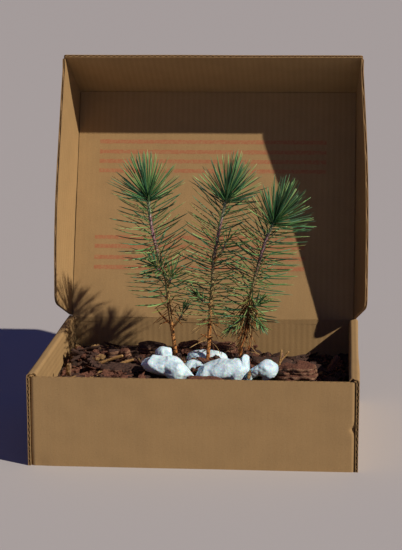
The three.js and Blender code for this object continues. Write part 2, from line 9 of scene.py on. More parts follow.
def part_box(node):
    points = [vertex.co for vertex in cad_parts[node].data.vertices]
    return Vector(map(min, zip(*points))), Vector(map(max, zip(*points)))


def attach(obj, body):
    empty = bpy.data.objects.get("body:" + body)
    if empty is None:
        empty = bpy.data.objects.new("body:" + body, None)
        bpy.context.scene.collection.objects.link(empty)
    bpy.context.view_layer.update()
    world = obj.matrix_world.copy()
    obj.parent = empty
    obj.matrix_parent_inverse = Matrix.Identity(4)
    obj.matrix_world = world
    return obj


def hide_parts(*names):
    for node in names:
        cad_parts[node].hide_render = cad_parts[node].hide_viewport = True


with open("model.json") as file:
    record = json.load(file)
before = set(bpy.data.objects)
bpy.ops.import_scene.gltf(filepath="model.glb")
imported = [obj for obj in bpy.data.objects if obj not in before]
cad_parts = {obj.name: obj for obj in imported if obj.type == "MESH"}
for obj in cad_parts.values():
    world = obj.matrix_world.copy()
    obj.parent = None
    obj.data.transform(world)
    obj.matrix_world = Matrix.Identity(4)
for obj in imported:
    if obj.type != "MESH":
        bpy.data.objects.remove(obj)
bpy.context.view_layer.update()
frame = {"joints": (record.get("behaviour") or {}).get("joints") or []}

bl_info = {
    "name": "Pine seedlings in a mailer box",
    "version": (1, 0, 0),
    "blender": (4, 5, 0),
    "location": "View3D > Sidebar > Seedlings",
    "description": "Dresses a clump of young pines that grow in an open box of corrugated board",
    "category": "Add Mesh",
}

# Every size below is in millimetres and every angle in degrees, unless its name says otherwise.
MM = 0.001


def span(node):
    """A CAD node's lowest and highest corner, in millimetres."""
    return tuple(np.array(corner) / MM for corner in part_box(node))


def shares(color):
    """An sRGB colour such as #rrggbb as three shares, still in sRGB."""
    return [int(color[i:i + 2], 16) / 255 for i in (1, 3, 5)]


# The box, as the solids have it
SIDE_LOW, SIDE_HIGH = span("tray_side_right")
HALF_WIDTH, HALF_DEPTH, RIM_HEIGHT = SIDE_HIGH
RIM = HALF_WIDTH - SIDE_LOW[0]
WALL_TOP = span("tray_front_wall")[1][2]
BOARD = span("tray_floor")[1][2]
GAP = 0.3  # what touching boards keep between them
JOINTS = {joint["name"]: joint for joint in frame["joints"]}
HINGE = np.array(JOINTS["lid_hinge"]["pos_m"]) / MM
LID_UP = np.array(JOINTS["left_flap_fold"]["axis"], float)
LID_IN = np.array([0.0, -LID_UP[2], LID_UP[1]])
RIGHT = np.array([1.0, 0.0, 0.0])
BACK = np.array([0.0, 1.0, 0.0])
UP = np.array([0.0, 0.0, 1.0])
FOLD_UP = np.linalg.norm(np.array(JOINTS["front_flap_fold"]["pos_m"]) / MM - HINGE)
FOLD_OUT = abs(JOINTS["left_flap_fold"]["pos_m"][0]) / MM
CREASE = BOARD / 2

# The front flap is wider by its flare, on each side, at its free edge. A side flap stands out as far
# as its foot and head say, its lower edge rises by the setback and its upper one by the rise, and its
# two outer corners are rounded so far. A fold is measured from flat.
FRONT_FLAP = {"depth": 93.5, "corner": 4.0, "fold": 81.4, "flare": 5.0}
SIDE_FLAP = {"foot": 41.0, "head": 92.0, "corners": (9.0, 2.5), "fold": 82.0, "setback": 7.0,
             "rise": 13.6}
# The front flap holds the side flaps' heads in, so each is wrung: it is turned by these angles more
# than its usual fold at its foot and at its head.
SIDE_WRING = (-9.0, 5.5)


class BoardSizes(bpy.types.PropertyGroup):
    """The board's flutes, paper and colour"""

    flute: bpy.props.FloatProperty(
        name="Flute pitch", description="Distance from flute to flute", default=6.5 * MM,
        min=2 * MM, max=10 * MM, unit="LENGTH")
    liner: bpy.props.FloatProperty(
        name="Liner thickness", description="Thickness of the two outer papers", default=0.5 * MM,
        min=0.1 * MM, max=1 * MM, unit="LENGTH")
    color: bpy.props.FloatVectorProperty(
        name="Kraft colour", description="sRGB colour of the paper", subtype="COLOR_GAMMA",
        size=3, min=0, max=1, default=shares("#a2855c"))


class GroundSizes(bpy.types.PropertyGroup):
    """The loose flakes on the bed"""

    flakes: bpy.props.IntProperty(
        name="Bark flakes", description="Loose flakes on the bed", default=1700, min=100, max=4000)
    flake_length: bpy.props.FloatProperty(
        name="Flake length", description="Usual length of a bark flake", default=12 * MM,
        min=4 * MM, max=30 * MM, unit="LENGTH")


class PlantSizes(bpy.types.PropertyGroup):
    """The seedlings' needles"""

    density: bpy.props.FloatProperty(
        name="Needle count", description="Needles compared with the usual count", default=1.0,
        min=0.2, max=2.0, subtype="FACTOR")
    needle_width: bpy.props.FloatProperty(
        name="Needle width", description="Width of a needle at its middle", default=1.3 * MM,
        min=0.6 * MM, max=2 * MM, unit="LENGTH")


class StageSizes(bpy.types.PropertyGroup):
    """The two lights"""

    key_strength: bpy.props.FloatProperty(
        name="Key light", description="Strength of the key light, in watts a square metre",
        default=4.0, min=0)
    fill_power: bpy.props.FloatProperty(
        name="Fill light", description="Power of the wide fill light", default=1.0, min=0, unit="POWER")


# Surfaces

def ripples(points, pitch, seed, waves=12):
    """A smooth random field, mostly from -1 to 1: sines of one pitch in seeded directions, added up
    and divided by the root of their number."""
    random = np.random.default_rng(seed)
    ways = random.normal(size=(waves, 3))
    ways *= 2 * np.pi / pitch / np.linalg.norm(ways, axis=1)[:, None]
    phases = random.uniform(0, 2 * np.pi, waves)
    return np.sin(points @ ways.T + phases).sum(-1) / math.sqrt(waves)


def ring_faces(rings, sides):
    """Triangles between the rings of a closed section carried along a path."""
    ring, side = np.meshgrid(np.arange(rings - 1), np.arange(sides), indexing="ij")
    here, beside = ring * sides + side, ring * sides + (side + 1) % sides
    first = np.stack([here, beside, beside + sides], -1)
    second = np.stack([here, beside + sides, here + sides], -1)
    return np.concatenate([first.reshape(-1, 3), second.reshape(-1, 3)])


def fan_faces(start, sides):
    """A flat cap over one ring."""
    spoke = np.arange(1, sides - 1)
    return np.stack([np.full_like(spoke, start), start + spoke, start + spoke + 1], -1)


def rod_faces(rings, sides):
    """The sides and the two caps of a closed rod."""
    return np.concatenate([ring_faces(rings, sides), fan_faces(0, sides)[:, ::-1],
                           fan_faces((rings - 1) * sides, sides)])


def slab_faces(across, deep):
    """Triangles of a closed slab: a top grid, a bottom grid and the strip between their edges."""
    i, j = np.meshgrid(np.arange(across - 1), np.arange(deep - 1), indexing="ij")
    here = (i * deep + j).ravel()
    top = np.concatenate([
        np.stack([here, here + deep, here + deep + 1], -1),
        np.stack([here, here + deep + 1, here + 1], -1)])
    edge = np.concatenate([
        np.arange(across) * deep, (across - 1) * deep + np.arange(1, deep),
        np.arange(across - 2, -1, -1) * deep + deep - 1, np.arange(deep - 2, 0, -1)])
    following, under = np.roll(edge, -1), across * deep
    strip = np.concatenate([
        np.stack([edge, edge + under, following + under], -1),
        np.stack([edge, following + under, following], -1)])
    return np.concatenate([top, top[:, ::-1] + under, strip])


def repeated(faces, count, points_each):
    """The same triangles for each of many bodies that follow each other in one array."""
    starts = np.arange(count)[:, None, None] * points_each
    return (faces[None] + starts).reshape(-1, 3)


def marks_along(line):
    """The length of a line up to each of its places."""
    return np.concatenate([[0], np.cumsum(np.linalg.norm(np.diff(line, axis=0), axis=1))])


def unit(ways):
    """Each way, brought to a length of 1."""
    return ways / np.linalg.norm(ways, axis=-1, keepdims=True)


def outward(points, faces):
    """Turns closed bodies the right way out: their volume, summed over triangles, has to be above 0."""
    a, b, c = (points[faces[:, k]] for k in range(3))
    volume = np.einsum("ij,ij->i", a - points.mean(0), np.cross(b - a, c - a)).sum()
    return faces if volume > 0 else faces[:, ::-1]


def together(bodies):
    """Joins bodies, each (points, faces, uv, paint), into one set of arrays."""
    points, faces, uv, paint = zip(*bodies)
    starts = np.cumsum([0] + [len(part) for part in points[:-1]])
    faces = [part + start for part, start in zip(faces, starts)]
    return tuple(np.concatenate(parts) for parts in (points, faces, uv, paint))


def body(points, faces, uv=None, paint=0):
    """A closed body: its points, outward triangles, a UV for each point and a material number. Its UV
    stays 0 where its patterns read places instead."""
    faces = outward(points, faces)
    uv = np.zeros((len(points), 2)) if uv is None else uv
    return points, faces, uv, np.full(len(faces), paint)


def linked(name, data):
    """An object of that data, in the scene."""
    made = bpy.data.objects.new(name, data)
    bpy.context.scene.collection.objects.link(made)
    return made


def put(name, bodies, materials, rides, stands_for=(), smooth=False):
    """Makes one piece from closed bodies, in the frame, and says what it rides on and stands for."""
    points, faces, uv, paint = together(bodies)
    mesh = bpy.data.meshes.new(name)
    mesh.vertices.add(len(points))
    mesh.vertices.foreach_set("co", (points * MM).astype(np.float32).ravel())
    mesh.loops.add(faces.size)
    mesh.loops.foreach_set("vertex_index", faces.astype(np.int32).ravel())
    mesh.polygons.add(len(faces))
    mesh.polygons.foreach_set("loop_start", np.arange(0, faces.size, 3, dtype=np.int32))
    mesh.polygons.foreach_set("material_index", paint.astype(np.int32))
    mesh.polygons.foreach_set("use_smooth", np.full(len(faces), smooth))
    mesh.uv_layers.new(name="Lie").data.foreach_set("uv", uv[faces.ravel()].astype(np.float32).ravel())
    for material in materials:
        mesh.materials.append(material)
    mesh.update(calc_edges=True)
    mesh.validate()
    piece = linked(name, mesh)
    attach(piece, rides)
    if stands_for:
        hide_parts(*stands_for)
    return piece


# Materials

def linear(color):
    """sRGB, as #rrggbb or three shares, turned to linear light, with an alpha of 1."""
    if isinstance(color, str):
        color = shares(color)
    return [c / 12.92 if c <= 0.04045 else ((c + 0.055) / 1.055) ** 2.4 for c in color] + [1.0]


def add(tree, kind, inputs=None, stops=None, **settings):
    """Adds a node with its settings; inputs holds, by socket, a value or the output it is linked to."""
    made = tree.nodes.new(kind)
    for key, value in settings.items():
        setattr(made, key, value)
    for key, value in (inputs or {}).items():
        if isinstance(value, bpy.types.NodeSocket):
            tree.links.new(value, made.inputs[key])
        else:
            made.inputs[key].default_value = value
    if stops:
        ramp = made.color_ramp.elements
        while len(ramp) < len(stops):
            ramp.new(0.5)
        for element, (place, color) in zip(ramp, stops):
            element.position = place
            element.color = linear(color)
    return made


def finish(name, roughness, **sockets):
    """A material with a Principled shader, whose even values stand on its own sockets."""
    material = bpy.data.materials.new(name)
    material.use_nodes = True
    shader = material.node_tree.nodes["Principled BSDF"]
    shader.inputs["Roughness"].default_value = roughness
    for key, value in sockets.items():
        shader.inputs[key.replace("_", " ")].default_value = value
    return material, material.node_tree, shader


def per_metre(millimetres):
    """The scale that gives a noise texture features of about this size."""
    return 1 / (millimetres * MM)


def shade_of(color, factor):
    """A colour made lighter or darker by a factor, as shares."""
    return [min(1.0, c * factor) for c in color]


def kraft_liner(color):
    """Unbleached kraft paper, calendered on one face: dull, mottled by its pulp, with dark and pale
    fibres, and faint darker stripes, one a flute, that are painted shade of its washboard over the flutes."""
    material, tree, shader = finish("unbleached_kraft_paper", 0.86, Specular_IOR_Level=0.25)
    lie = add(tree, "ShaderNodeUVMap", uv_map="Lie").outputs["UV"]
    cloud = add(tree, "ShaderNodeTexNoise", {"Vector": lie, "Scale": per_metre(24), "Detail": 5.0})
    pulp = add(tree, "ShaderNodeTexNoise", {"Vector": lie, "Scale": per_metre(1.6), "Detail": 6.0,
                                            "Roughness": 0.7})
    # The fibres of the pulp are finer than this, and are drawn so coarse that they show. A wave
    # texture turns once every 2 pi / 20 of its scaled input.
    flute = bpy.context.scene.seedling_board.flute
    # Painted shade: darker stripes, one a flute, for the shade of the washboard that the liner makes.
    washboard_shade = add(tree, "ShaderNodeTexWave", {"Vector": lie, "Scale": 2 * math.pi / 20 / flute,
                                            "Distortion": 0.6, "Detail": 2.0, "Detail Scale": 0.6})
    tint = add(tree, "ShaderNodeValToRGB", {"Fac": cloud.outputs["Fac"]}, [
        (0.3, shade_of(color, 0.95)), (0.5, color), (0.72, shade_of(color, 1.04))])
    specks = add(tree, "ShaderNodeValToRGB", {"Fac": pulp.outputs["Fac"]}, [
        (0.30, shade_of(color, 0.72)), (0.42, shade_of(color, 0.96)), (0.60, shade_of(color, 1.02)),
        (0.74, shade_of(color, 1.22))])
    # A mix node's colour sockets are its inputs 6 and 7 and its output 2.
    mixed = add(tree, "ShaderNodeMix", {0: 0.45, 6: tint.outputs["Color"], 7: specks.outputs["Color"]},
                data_type="RGBA")
    # The painted washboard shade multiplies the paper by a grey brown, by up to a tenth.
    strength = add(tree, "ShaderNodeMath", {0: washboard_shade.outputs["Fac"], 1: 0.10}, operation="MULTIPLY")
    with_washboard_shade = add(tree, "ShaderNodeMix", {0: strength.outputs[0], 6: mixed.outputs[2],
                                         7: linear("#a08f7c")}, data_type="RGBA", blend_type="MULTIPLY")
    tree.links.new(with_washboard_shade.outputs[2], shader.inputs["Base Color"])
    bump = add(tree, "ShaderNodeBump", {"Height": pulp.outputs["Fac"], "Strength": 0.25,
                                        "Distance": 0.0004})
    tree.links.new(bump.outputs["Normal"], shader.inputs["Normal"])
    return material


def plain_finish(name, colors, grain, roughness, depth, sockets=()):
    """A finish that wanders between a few tones in grains of one size, with a bump of that depth."""
    material, tree, shader = finish(name, roughness, **dict(sockets))
    place = add(tree, "ShaderNodeTexCoord").outputs["Object"]
    noise = add(tree, "ShaderNodeTexNoise", {"Vector": place, "Scale": per_metre(grain),
                                             "Detail": 6.0, "Roughness": 0.6})
    stops = zip(np.linspace(0.32, 0.68, len(colors)), colors)
    tint = add(tree, "ShaderNodeValToRGB", {"Fac": noise.outputs["Fac"]}, list(stops))
    bump = add(tree, "ShaderNodeBump", {"Height": noise.outputs["Fac"], "Strength": 0.6,
                                        "Distance": depth * MM})
    tree.links.new(tint.outputs["Color"], shader.inputs["Base Color"])
    tree.links.new(bump.outputs["Normal"], shader.inputs["Normal"])
    return material


# Each has its name, its tones from dark to light, the size of its grain, its roughness, the depth of
# its bump, and any more of the shader's sockets.
PLAIN_FINISHES = {
    # Fluting paper is recycled, so it is greyer than the liner, and it lies in its own shade.
    "flute": ("recycled_fluting_paper", ["#86663f", "#9a7850", "#b08e60"], 1.5, 0.9, 0.1),
    # Flexographic ink that soaked into kraft: faded, uneven and dull.
    "ink": ("faded_red_flexo_ink", ["#9f6444", "#a56f4c", "#a37f58"], 2.2, 0.88, 0.05),
    # Composted bark: nearly black where damp, redder where dry.
    "earth": ("composted_bark", ["#1d130f", "#332219", "#4a3226"], 2.5, 0.95, 0.8),
    # Shredded bark that is still damp: dark, dull and corky.
    "bark_dark": ("damp_pine_bark", ["#281a15", "#3f2a22", "#573b2f"], 1.8, 0.9, 0.5),
    # The same bark where it has dried: lighter and redder.
    "bark_red": ("red_pine_bark", ["#3f2319", "#5e3828", "#7a5240"], 1.6, 0.88, 0.5),
    # Where bark is torn, its pale fibres catch the light.
    "bark_rim": ("torn_bark_edge", ["#54382a", "#7c5a44", "#a3816a"], 1.2, 0.9, 0.3),
    # Chipped sapwood that dried in the sun: yellowish and a little smoother.
    "bark_pale": ("dry_wood_chip", ["#5f452d", "#86683f", "#a68a5e"], 1.4, 0.85, 0.35),
    # Broken white marble: a sugary crystal surface that lets a little light in.
    "marble": ("broken_white_marble", ["#b8d3e7", "#d3eeff", "#e2f8ff"], 5.0, 0.7, 0.3,
               {"Subsurface_Weight": 0.3, "Subsurface_Scale": 0.004}),
    # A twig that lost its bark: straw-coloured, with a faint sheen along its fibres.
    "stick": ("dry_stripped_twig", ["#7a5732", "#a8814c", "#c9a878"], 1.2, 0.8, 0.2),
    # Cork that closed the scars of fallen needles: dark, dull and rough.
    "scar": ("leaf_scar_cork", ["#3d2618", "#5b3a22"], 0.8, 0.9, 0.1),
    # The bark of a side shoot that died: dry, orange and faintly flaked.
    "dead_twig": ("dead_side_shoot", ["#6e4222", "#a3622c", "#b98a55"], 2.0, 0.85, 0.15),
}
FINISHES = {}


def finishes():
    """Makes each material once, by its plain name."""
    if not FINISHES:
        FINISHES["liner"] = kraft_liner(list(bpy.context.scene.seedling_board.color))
        FINISHES["stem"] = young_bark()
        FINISHES.update((name, plain_finish(*look)) for name, look in PLAIN_FINISHES.items())
        FINISHES.update((name, needle_skin(name, *tones)) for name, tones in NEEDLE_TONES.items())
    return FINISHES


# The tones that needles are dealt, foot and tip: fresh ones are waxy, old ones papery.
NEEDLE_TONES = {
    "blue_green": ("#35694f", "#558a62"),
    "mid_green": ("#497f4a", "#6fa05f"),
    # A paler, yellower green that is partly painted highlight, for needles as if lit by the sun.
    "pale_and_sunlit_green": ("#759f5c", "#9bbd78"),
    "shaded_green": ("#1d3a2a", "#31563c"),
    "olive_green": ("#70773f", "#8b8e4b"),
    "rust_brown": ("#8c5527", "#a8692f"),
    "straw_brown": ("#a98550", "#c9a973"),
    "dark_brown": ("#3d2719", "#573722"),
}


def needle_skin(name, base, tip):
    """A needle's waxed skin: one tone that lightens a little from its foot to its tip."""
    dry = name.endswith("brown")
    material, tree, shader = finish(f"needle_{name}", 0.7 if dry else 0.42,
                                    Specular_IOR_Level=0.3 if dry else 0.5)
    lie = add(tree, "ShaderNodeUVMap", uv_map="Lie").outputs["UV"]
    along = add(tree, "ShaderNodeSeparateXYZ", {"Vector": lie}).outputs["Y"]
    tint = add(tree, "ShaderNodeValToRGB", {"Fac": along}, [(0.0, base), (1.0, tip)])
    tree.links.new(tint.outputs["Color"], shader.inputs["Base Color"])
    return material


def young_bark():
    """A pine's first bark: orange and flaking at the foot, olive above, and wine-red under a white
    bloom near the tip. V runs from the foot to the tip."""
    material, tree, shader = finish("young_pine_bark", 0.72)
    lie = add(tree, "ShaderNodeUVMap", uv_map="Lie").outputs["UV"]
    along = add(tree, "ShaderNodeSeparateXYZ", {"Vector": lie}).outputs["Y"]
    place = add(tree, "ShaderNodeTexCoord").outputs["Object"]
    fleck = add(tree, "ShaderNodeTexNoise", {"Vector": place, "Scale": per_metre(1.8), "Detail": 5.0})
    wander = add(tree, "ShaderNodeTexNoise", {"Vector": place, "Scale": per_metre(9), "Detail": 2.0})
    shifted = add(tree, "ShaderNodeMath", {0: wander.outputs["Fac"], 1: 0.16, 2: along},
                  operation="MULTIPLY_ADD")
    tint = add(tree, "ShaderNodeValToRGB", {"Fac": shifted.outputs[0]}, [
        (0.04, "#bb7438"), (0.25, "#c08042"), (0.38, "#a87c4a"), (0.52, "#94804e"), (0.70, "#7f6a50"),
        (0.82, "#7d4f56"), (0.95, "#8c6470"), (1.0, "#7f8a6c")])
    pale = add(tree, "ShaderNodeValToRGB", {"Fac": shifted.outputs[0]}, [
        (0.0, "#d8a064"), (0.4, "#c09a62"), (0.7, "#a3a27c"), (0.86, "#b39aa6"), (1.0, "#b9b3a8")])
    spots = add(tree, "ShaderNodeValToRGB", {"Fac": fleck.outputs["Fac"]}, [
        (0.50, "#000000"), (0.66, "#ffffff")])
    mixed = add(tree, "ShaderNodeMix", {0: spots.outputs["Color"], 6: tint.outputs["Color"],
                                        7: pale.outputs["Color"]}, data_type="RGBA")
    tree.links.new(mixed.outputs[2], shader.inputs["Base Color"])
    bump = add(tree, "ShaderNodeBump", {"Height": fleck.outputs["Fac"], "Strength": 0.5,
                                        "Distance": 0.0003})
    tree.links.new(bump.outputs["Normal"], shader.inputs["Normal"])
    return material


# Corrugated board

STEPS_PER_FLUTE = 8
BEND_STEPS = 7
CORNER_STEPS = 12
MEDIUM = 0.4  # thickness of the fluting paper
PAPER = 0.2  # thickness of a liner on its own
SINK = 0.06  # how far a liner sinks between the crests of the flutes
WARP = 0.35  # how far a sheet usually wanders from flat
WARP_PITCH = 120.0
CRUSH = 0.05  # how far a fold is pressed in, as a share of its radius
CRUSH_PITCH = 18.0


def layer(centre, normal, along, reach, inner, outer, warp, rows, paint):
    """One paper of a sheet, as a closed body: a ring of places up its outer face and down its inner
    face, carried across the flutes. Place = centre + t * along + w * normal."""
    share = np.linspace(0, 1, rows)
    low, high = reach
    t = low[:, None] + (high - low)[:, None] * share
    t = np.concatenate([t, t[:, ::-1]], 1)
    w = np.concatenate([np.repeat(outer[:, None], rows, 1), np.repeat(inner[:, None], rows, 1)], 1)
    points = centre[:, None] + t[..., None] * along + w[..., None] * normal[:, None]
    points = points + warp(points)[..., None] * normal[:, None]
    sides = 2 * rows
    faces = [ring_faces(len(centre), sides)]
    for start, turned in ((0, 1), ((len(centre) - 1) * sides, -1)):
        j = np.arange(rows - 1)
        ends = np.stack([start + j, start + sides - 1 - j, start + sides - 2 - j, start + j + 1], -1)
        faces.append(np.concatenate([ends[:, [0, 1, 2]], ends[:, [0, 2, 3]]])[:, ::turned])
    uv = np.stack([np.repeat(marks_along(centre)[:, None], sides, 1), t], -1) * MM
    return body(points.reshape(-1, 3), np.concatenate(faces), uv.reshape(-1, 2), paint)


def board_sheet(centre, normal, along, reach, seed, dents=(), rows=6, bent=WARP):
    """Single-wall board: two liners and a medium that waves between them as
    w = height * sin(2 pi s / pitch); the liners sink a little between its crests."""
    sizes = bpy.context.scene.seedling_board
    pitch, liner = sizes.flute / MM, sizes.liner / MM
    phase = 2 * np.pi * marks_along(centre) / pitch
    half = BOARD / 2
    height = half - liner - MEDIUM / 2
    wave = height * np.sin(phase)
    top = half - SINK * (1 - np.sin(phase)) / 2
    bottom = -half + SINK * (1 + np.sin(phase)) / 2

    def warp(points):
        shift = bent * ripples(points, WARP_PITCH, seed)
        for place, radius, depth in dents:
            shift -= depth * np.exp(-(((points - place) ** 2).sum(-1)) / radius ** 2)
        return shift

    papers = ((top - liner, top, 0), (bottom, bottom + liner, 0),
              (wave - MEDIUM / 2, wave + MEDIUM / 2, 1))
    return [layer(centre, normal, along, reach, inner, outer, warp, rows, paint)
            for inner, outer, paint in papers]


def fold_line(start, end, seed):
    """A crushed fold: a rod of the board's thickness whose section is pressed a little flat."""
    sides, rings = 16, 60
    angle = 2 * np.pi * np.arange(sides) / sides
    way = unit(end - start)
    across = unit(np.cross(way, RIGHT) if abs(way[0]) < 0.5 else np.cross(way, UP))
    over = np.cross(way, across)
    share = np.linspace(0, 1, rings)
    centre = start + share[:, None] * (end - start)
    press = 1 - CRUSH * (1 + ripples(centre, CRUSH_PITCH, seed))
    section = np.cos(angle)[:, None] * across + np.sin(angle)[:, None] * over
    points = centre[:, None] + (CREASE * press)[:, None, None] * section
    length = np.linalg.norm(end - start)
    uv = np.stack(np.broadcast_arrays(angle[None] * CREASE, share[:, None] * length), -1) * MM
    return body(points.reshape(-1, 3), rod_faces(rings, sides), uv.reshape(-1, 2))


def paper_strip(start, end, wide, way):
    """A strip of liner that covers the gap beside a crease: a thin slab from one end to the other, as
    wide as one vector and as thick as the paper along the other."""
    steps, across = 40, np.array([0, 0.5, 1])
    share = np.linspace(0, 1, steps)[:, None, None]
    face = start + share * (end - start) + across[None, :, None] * wide
    points = np.stack([face, face + PAPER * way]).reshape(-1, 3)
    flat = np.stack(np.broadcast_arrays(share[..., 0] * np.linalg.norm(end - start),
                                        across * np.linalg.norm(wide)), -1)
    uv = np.concatenate([flat, flat]).reshape(-1, 2) * MM
    return body(points, slab_faces(steps, len(across)), uv)


def rounded(places, corners):
    """A line through places, where each inner one gives way to a quadratic curve that starts so far
    before it and ends so far past it."""
    places = [np.array(place, float) for place in places]
    line = [places[0]]
    for before, here, after, corner in zip(places, places[1:], places[2:], corners):
        start, end = (here + corner * unit(place - here) for place in (before, after))
        line.extend(bowed(start, here, end, CORNER_STEPS))
    return np.array(line + [places[-1]])


def reach_within(line, count):
    """Even distances out from a sheet's hinge, with how low and how high the sheet runs at each, by
    its outline: a line that goes out and comes back."""
    furthest = line[:, 0].argmax()
    out, back = line[:furthest + 1], line[furthest:][::-1]
    s = np.linspace(0, line[furthest, 0], count)
    return s, np.interp(s, out[:, 0], out[:, 1]), np.interp(s, back[:, 0], back[:, 1])


def sampled_path(stretches):
    """Places and normals along straight runs and bends, at even steps of part of a flute.

    A run is (start, end, normal); a bend is (centre, radius, from, to), with its angles in the plane
    of X and the second way that the caller maps. All are in two numbers."""
    pitch = bpy.context.scene.seedling_board.flute / MM
    pieces = []
    for kind, *values in stretches:
        if kind == "run":
            start, end, normal = (np.array(value, float) for value in values)
            count = max(2, int(np.linalg.norm(end - start) / pitch * STEPS_PER_FLUTE))
            share = np.linspace(0, 1, count)[:, None]
            pieces.append((start + share * (end - start), np.repeat(normal[None], count, 0)))
        else:
            centre, radius, first, last = values
            turn = np.radians(np.linspace(first, last, BEND_STEPS))[1:-1]
            spoke = np.stack([np.cos(turn), np.sin(turn)], -1)
            pieces.append((np.array(centre) + radius * spoke, spoke))
    return tuple(np.concatenate([piece[k] for piece in pieces]) for k in (0, 1))


def on_plane(flat, first, second, origin=np.zeros(3)):
    """Turns pairs of numbers into places, or ways, by two directions in space."""
    return origin + flat[:, :1] * first + flat[:, 1:] * second


def steady(count, low, high):
    """The reach of a sheet with straight edges."""
    return np.full(count, float(low)), np.full(count, float(high))


class SEEDLINGS_OT_tray(bpy.types.Operator):
    """Folds the tray: floor, two walls with their ears and two side walls rolled over the ears"""

    bl_idname = "seedlings.tray"
    bl_label = "Tray"

    corner_bend = 2.6  # radius of the middle line where a wall folds into its ears
    rim_bend = 1.8  # and where a side wall rolls over them
    back_step = 0.4  # how much lower the back wall is, so that the lid can lie flat over it
    hinge_lap, hinge_strip = 3.0, 4.6  # where the hinge's liner starts below the wall's top; its height
    # Where the front is dented: the side, how far in from the fold, the height, the radius, the depth.
    knocks = [(1, 0.0, 44.0, 3.2, 3.2), (-1, 6.0, 2.0, 9.0, 1.0)]

    def execute(self, context):
        materials = [finishes()["liner"], finishes()["flute"]]
        for name, side in (("front", -1), ("back", 1)):
            put(f"tray_{name}_board", self.wall(side), materials, "tray",
                [f"tray_{name}_wall", f"tray_ear_{name}_left", f"tray_ear_{name}_right"])
        for name, sign in (("left", -1), ("right", 1)):
            put(f"tray_side_board_{name}", self.rolled(sign), materials, "tray",
                [f"tray_side_{name}"])
        put("tray_floor_board", self.floor(), materials, "tray", ["tray_floor"])
        put("tray_hinge_liner", self.hinge_liner(), materials[:1], "tray")
        return {"FINISHED"}

    def wall(self, side):
        """A wall with its ears: the plan is ear, bend, wall, bend, ear, and the flutes stand upright."""
        ear = span("tray_ear_front_right")
        x = ear[1][0] - BOARD / 2
        y = HALF_DEPTH - BOARD / 2
        end = -ear[1][1]
        bend = self.corner_bend
        plan, normal = sampled_path([
            ("run", (-x, end), (-x, y - bend), (-1, 0)),
            ("bend", (-x + bend, y - bend), bend, 180, 90),
            ("run", (-x + bend, y), (x - bend, y), (0, 1)),
            ("bend", (x - bend, y - bend), bend, 90, 0),
            ("run", (x, y - bend), (x, end), (1, 0))])
        centre = on_plane(plan, RIGHT, side * BACK)
        face = on_plane(normal, RIGHT, side * BACK)
        ears = np.abs(plan[:, 1]) < y - bend
        low = np.where(ears, BOARD + GAP, 0.0)
        dents, top = [], WALL_TOP - self.back_step
        if side < 0:
            top = WALL_TOP
            dents = [(np.array([sign * (x - inset), -y, height]), radius, depth)
                     for sign, inset, height, radius, depth in self.knocks]
        return board_sheet(centre, face, UP, (low, np.full(len(plan), top)), 5 + side, dents, 24)

    def rolled(self, sign):
        """A side wall rolled over the ears: up, over and down in section, its flutes level."""
        outer, inner = HALF_WIDTH - BOARD / 2, HALF_WIDTH - RIM + BOARD / 2
        top, bend = RIM_HEIGHT - BOARD / 2, self.rim_bend
        section, normal = sampled_path([
            ("run", (outer, 0), (outer, top - bend), (1, 0)),
            ("bend", (outer - bend, top - bend), bend, 0, 90),
            ("run", (outer - bend, top), (inner + bend, top), (0, 1)),
            ("bend", (inner + bend, top - bend), bend, 90, 180),
            ("run", (inner, top - bend), (inner, BOARD + GAP), (-1, 0))])
        short = HALF_DEPTH - BOARD - GAP
        leg = section[:, 0] < outer - bend
        inside = section[:, 0] <= inner + bend
        low = np.where(inside, -short, -HALF_DEPTH)
        high = np.where(leg, short, HALF_DEPTH)
        return board_sheet(on_plane(section, sign * RIGHT, UP), on_plane(normal, sign * RIGHT, UP),
                           BACK, (low, high), 9 + sign, rows=16)

    def hinge_liner(self):
        """The inner liner runs on from the back wall to the middle of the lid's crease."""
        x, y, z = HALF_WIDTH - RIM, HALF_DEPTH - BOARD - PAPER, WALL_TOP - self.hinge_lap
        return [paper_strip(np.array([-x, y, z]), np.array([x, y, z]), self.hinge_strip * UP, BACK)]

    def floor(self):
        """A flat sheet whose flutes run from front to back."""
        low, high = span("tray_floor")
        plan, normal = sampled_path([("run", (low[0], BOARD / 2), (high[0], BOARD / 2), (0, 1))])
        return board_sheet(on_plane(plan, RIGHT, UP), on_plane(normal, RIGHT, UP), BACK,
                           steady(len(plan), low[1], high[1]), 3, rows=4)


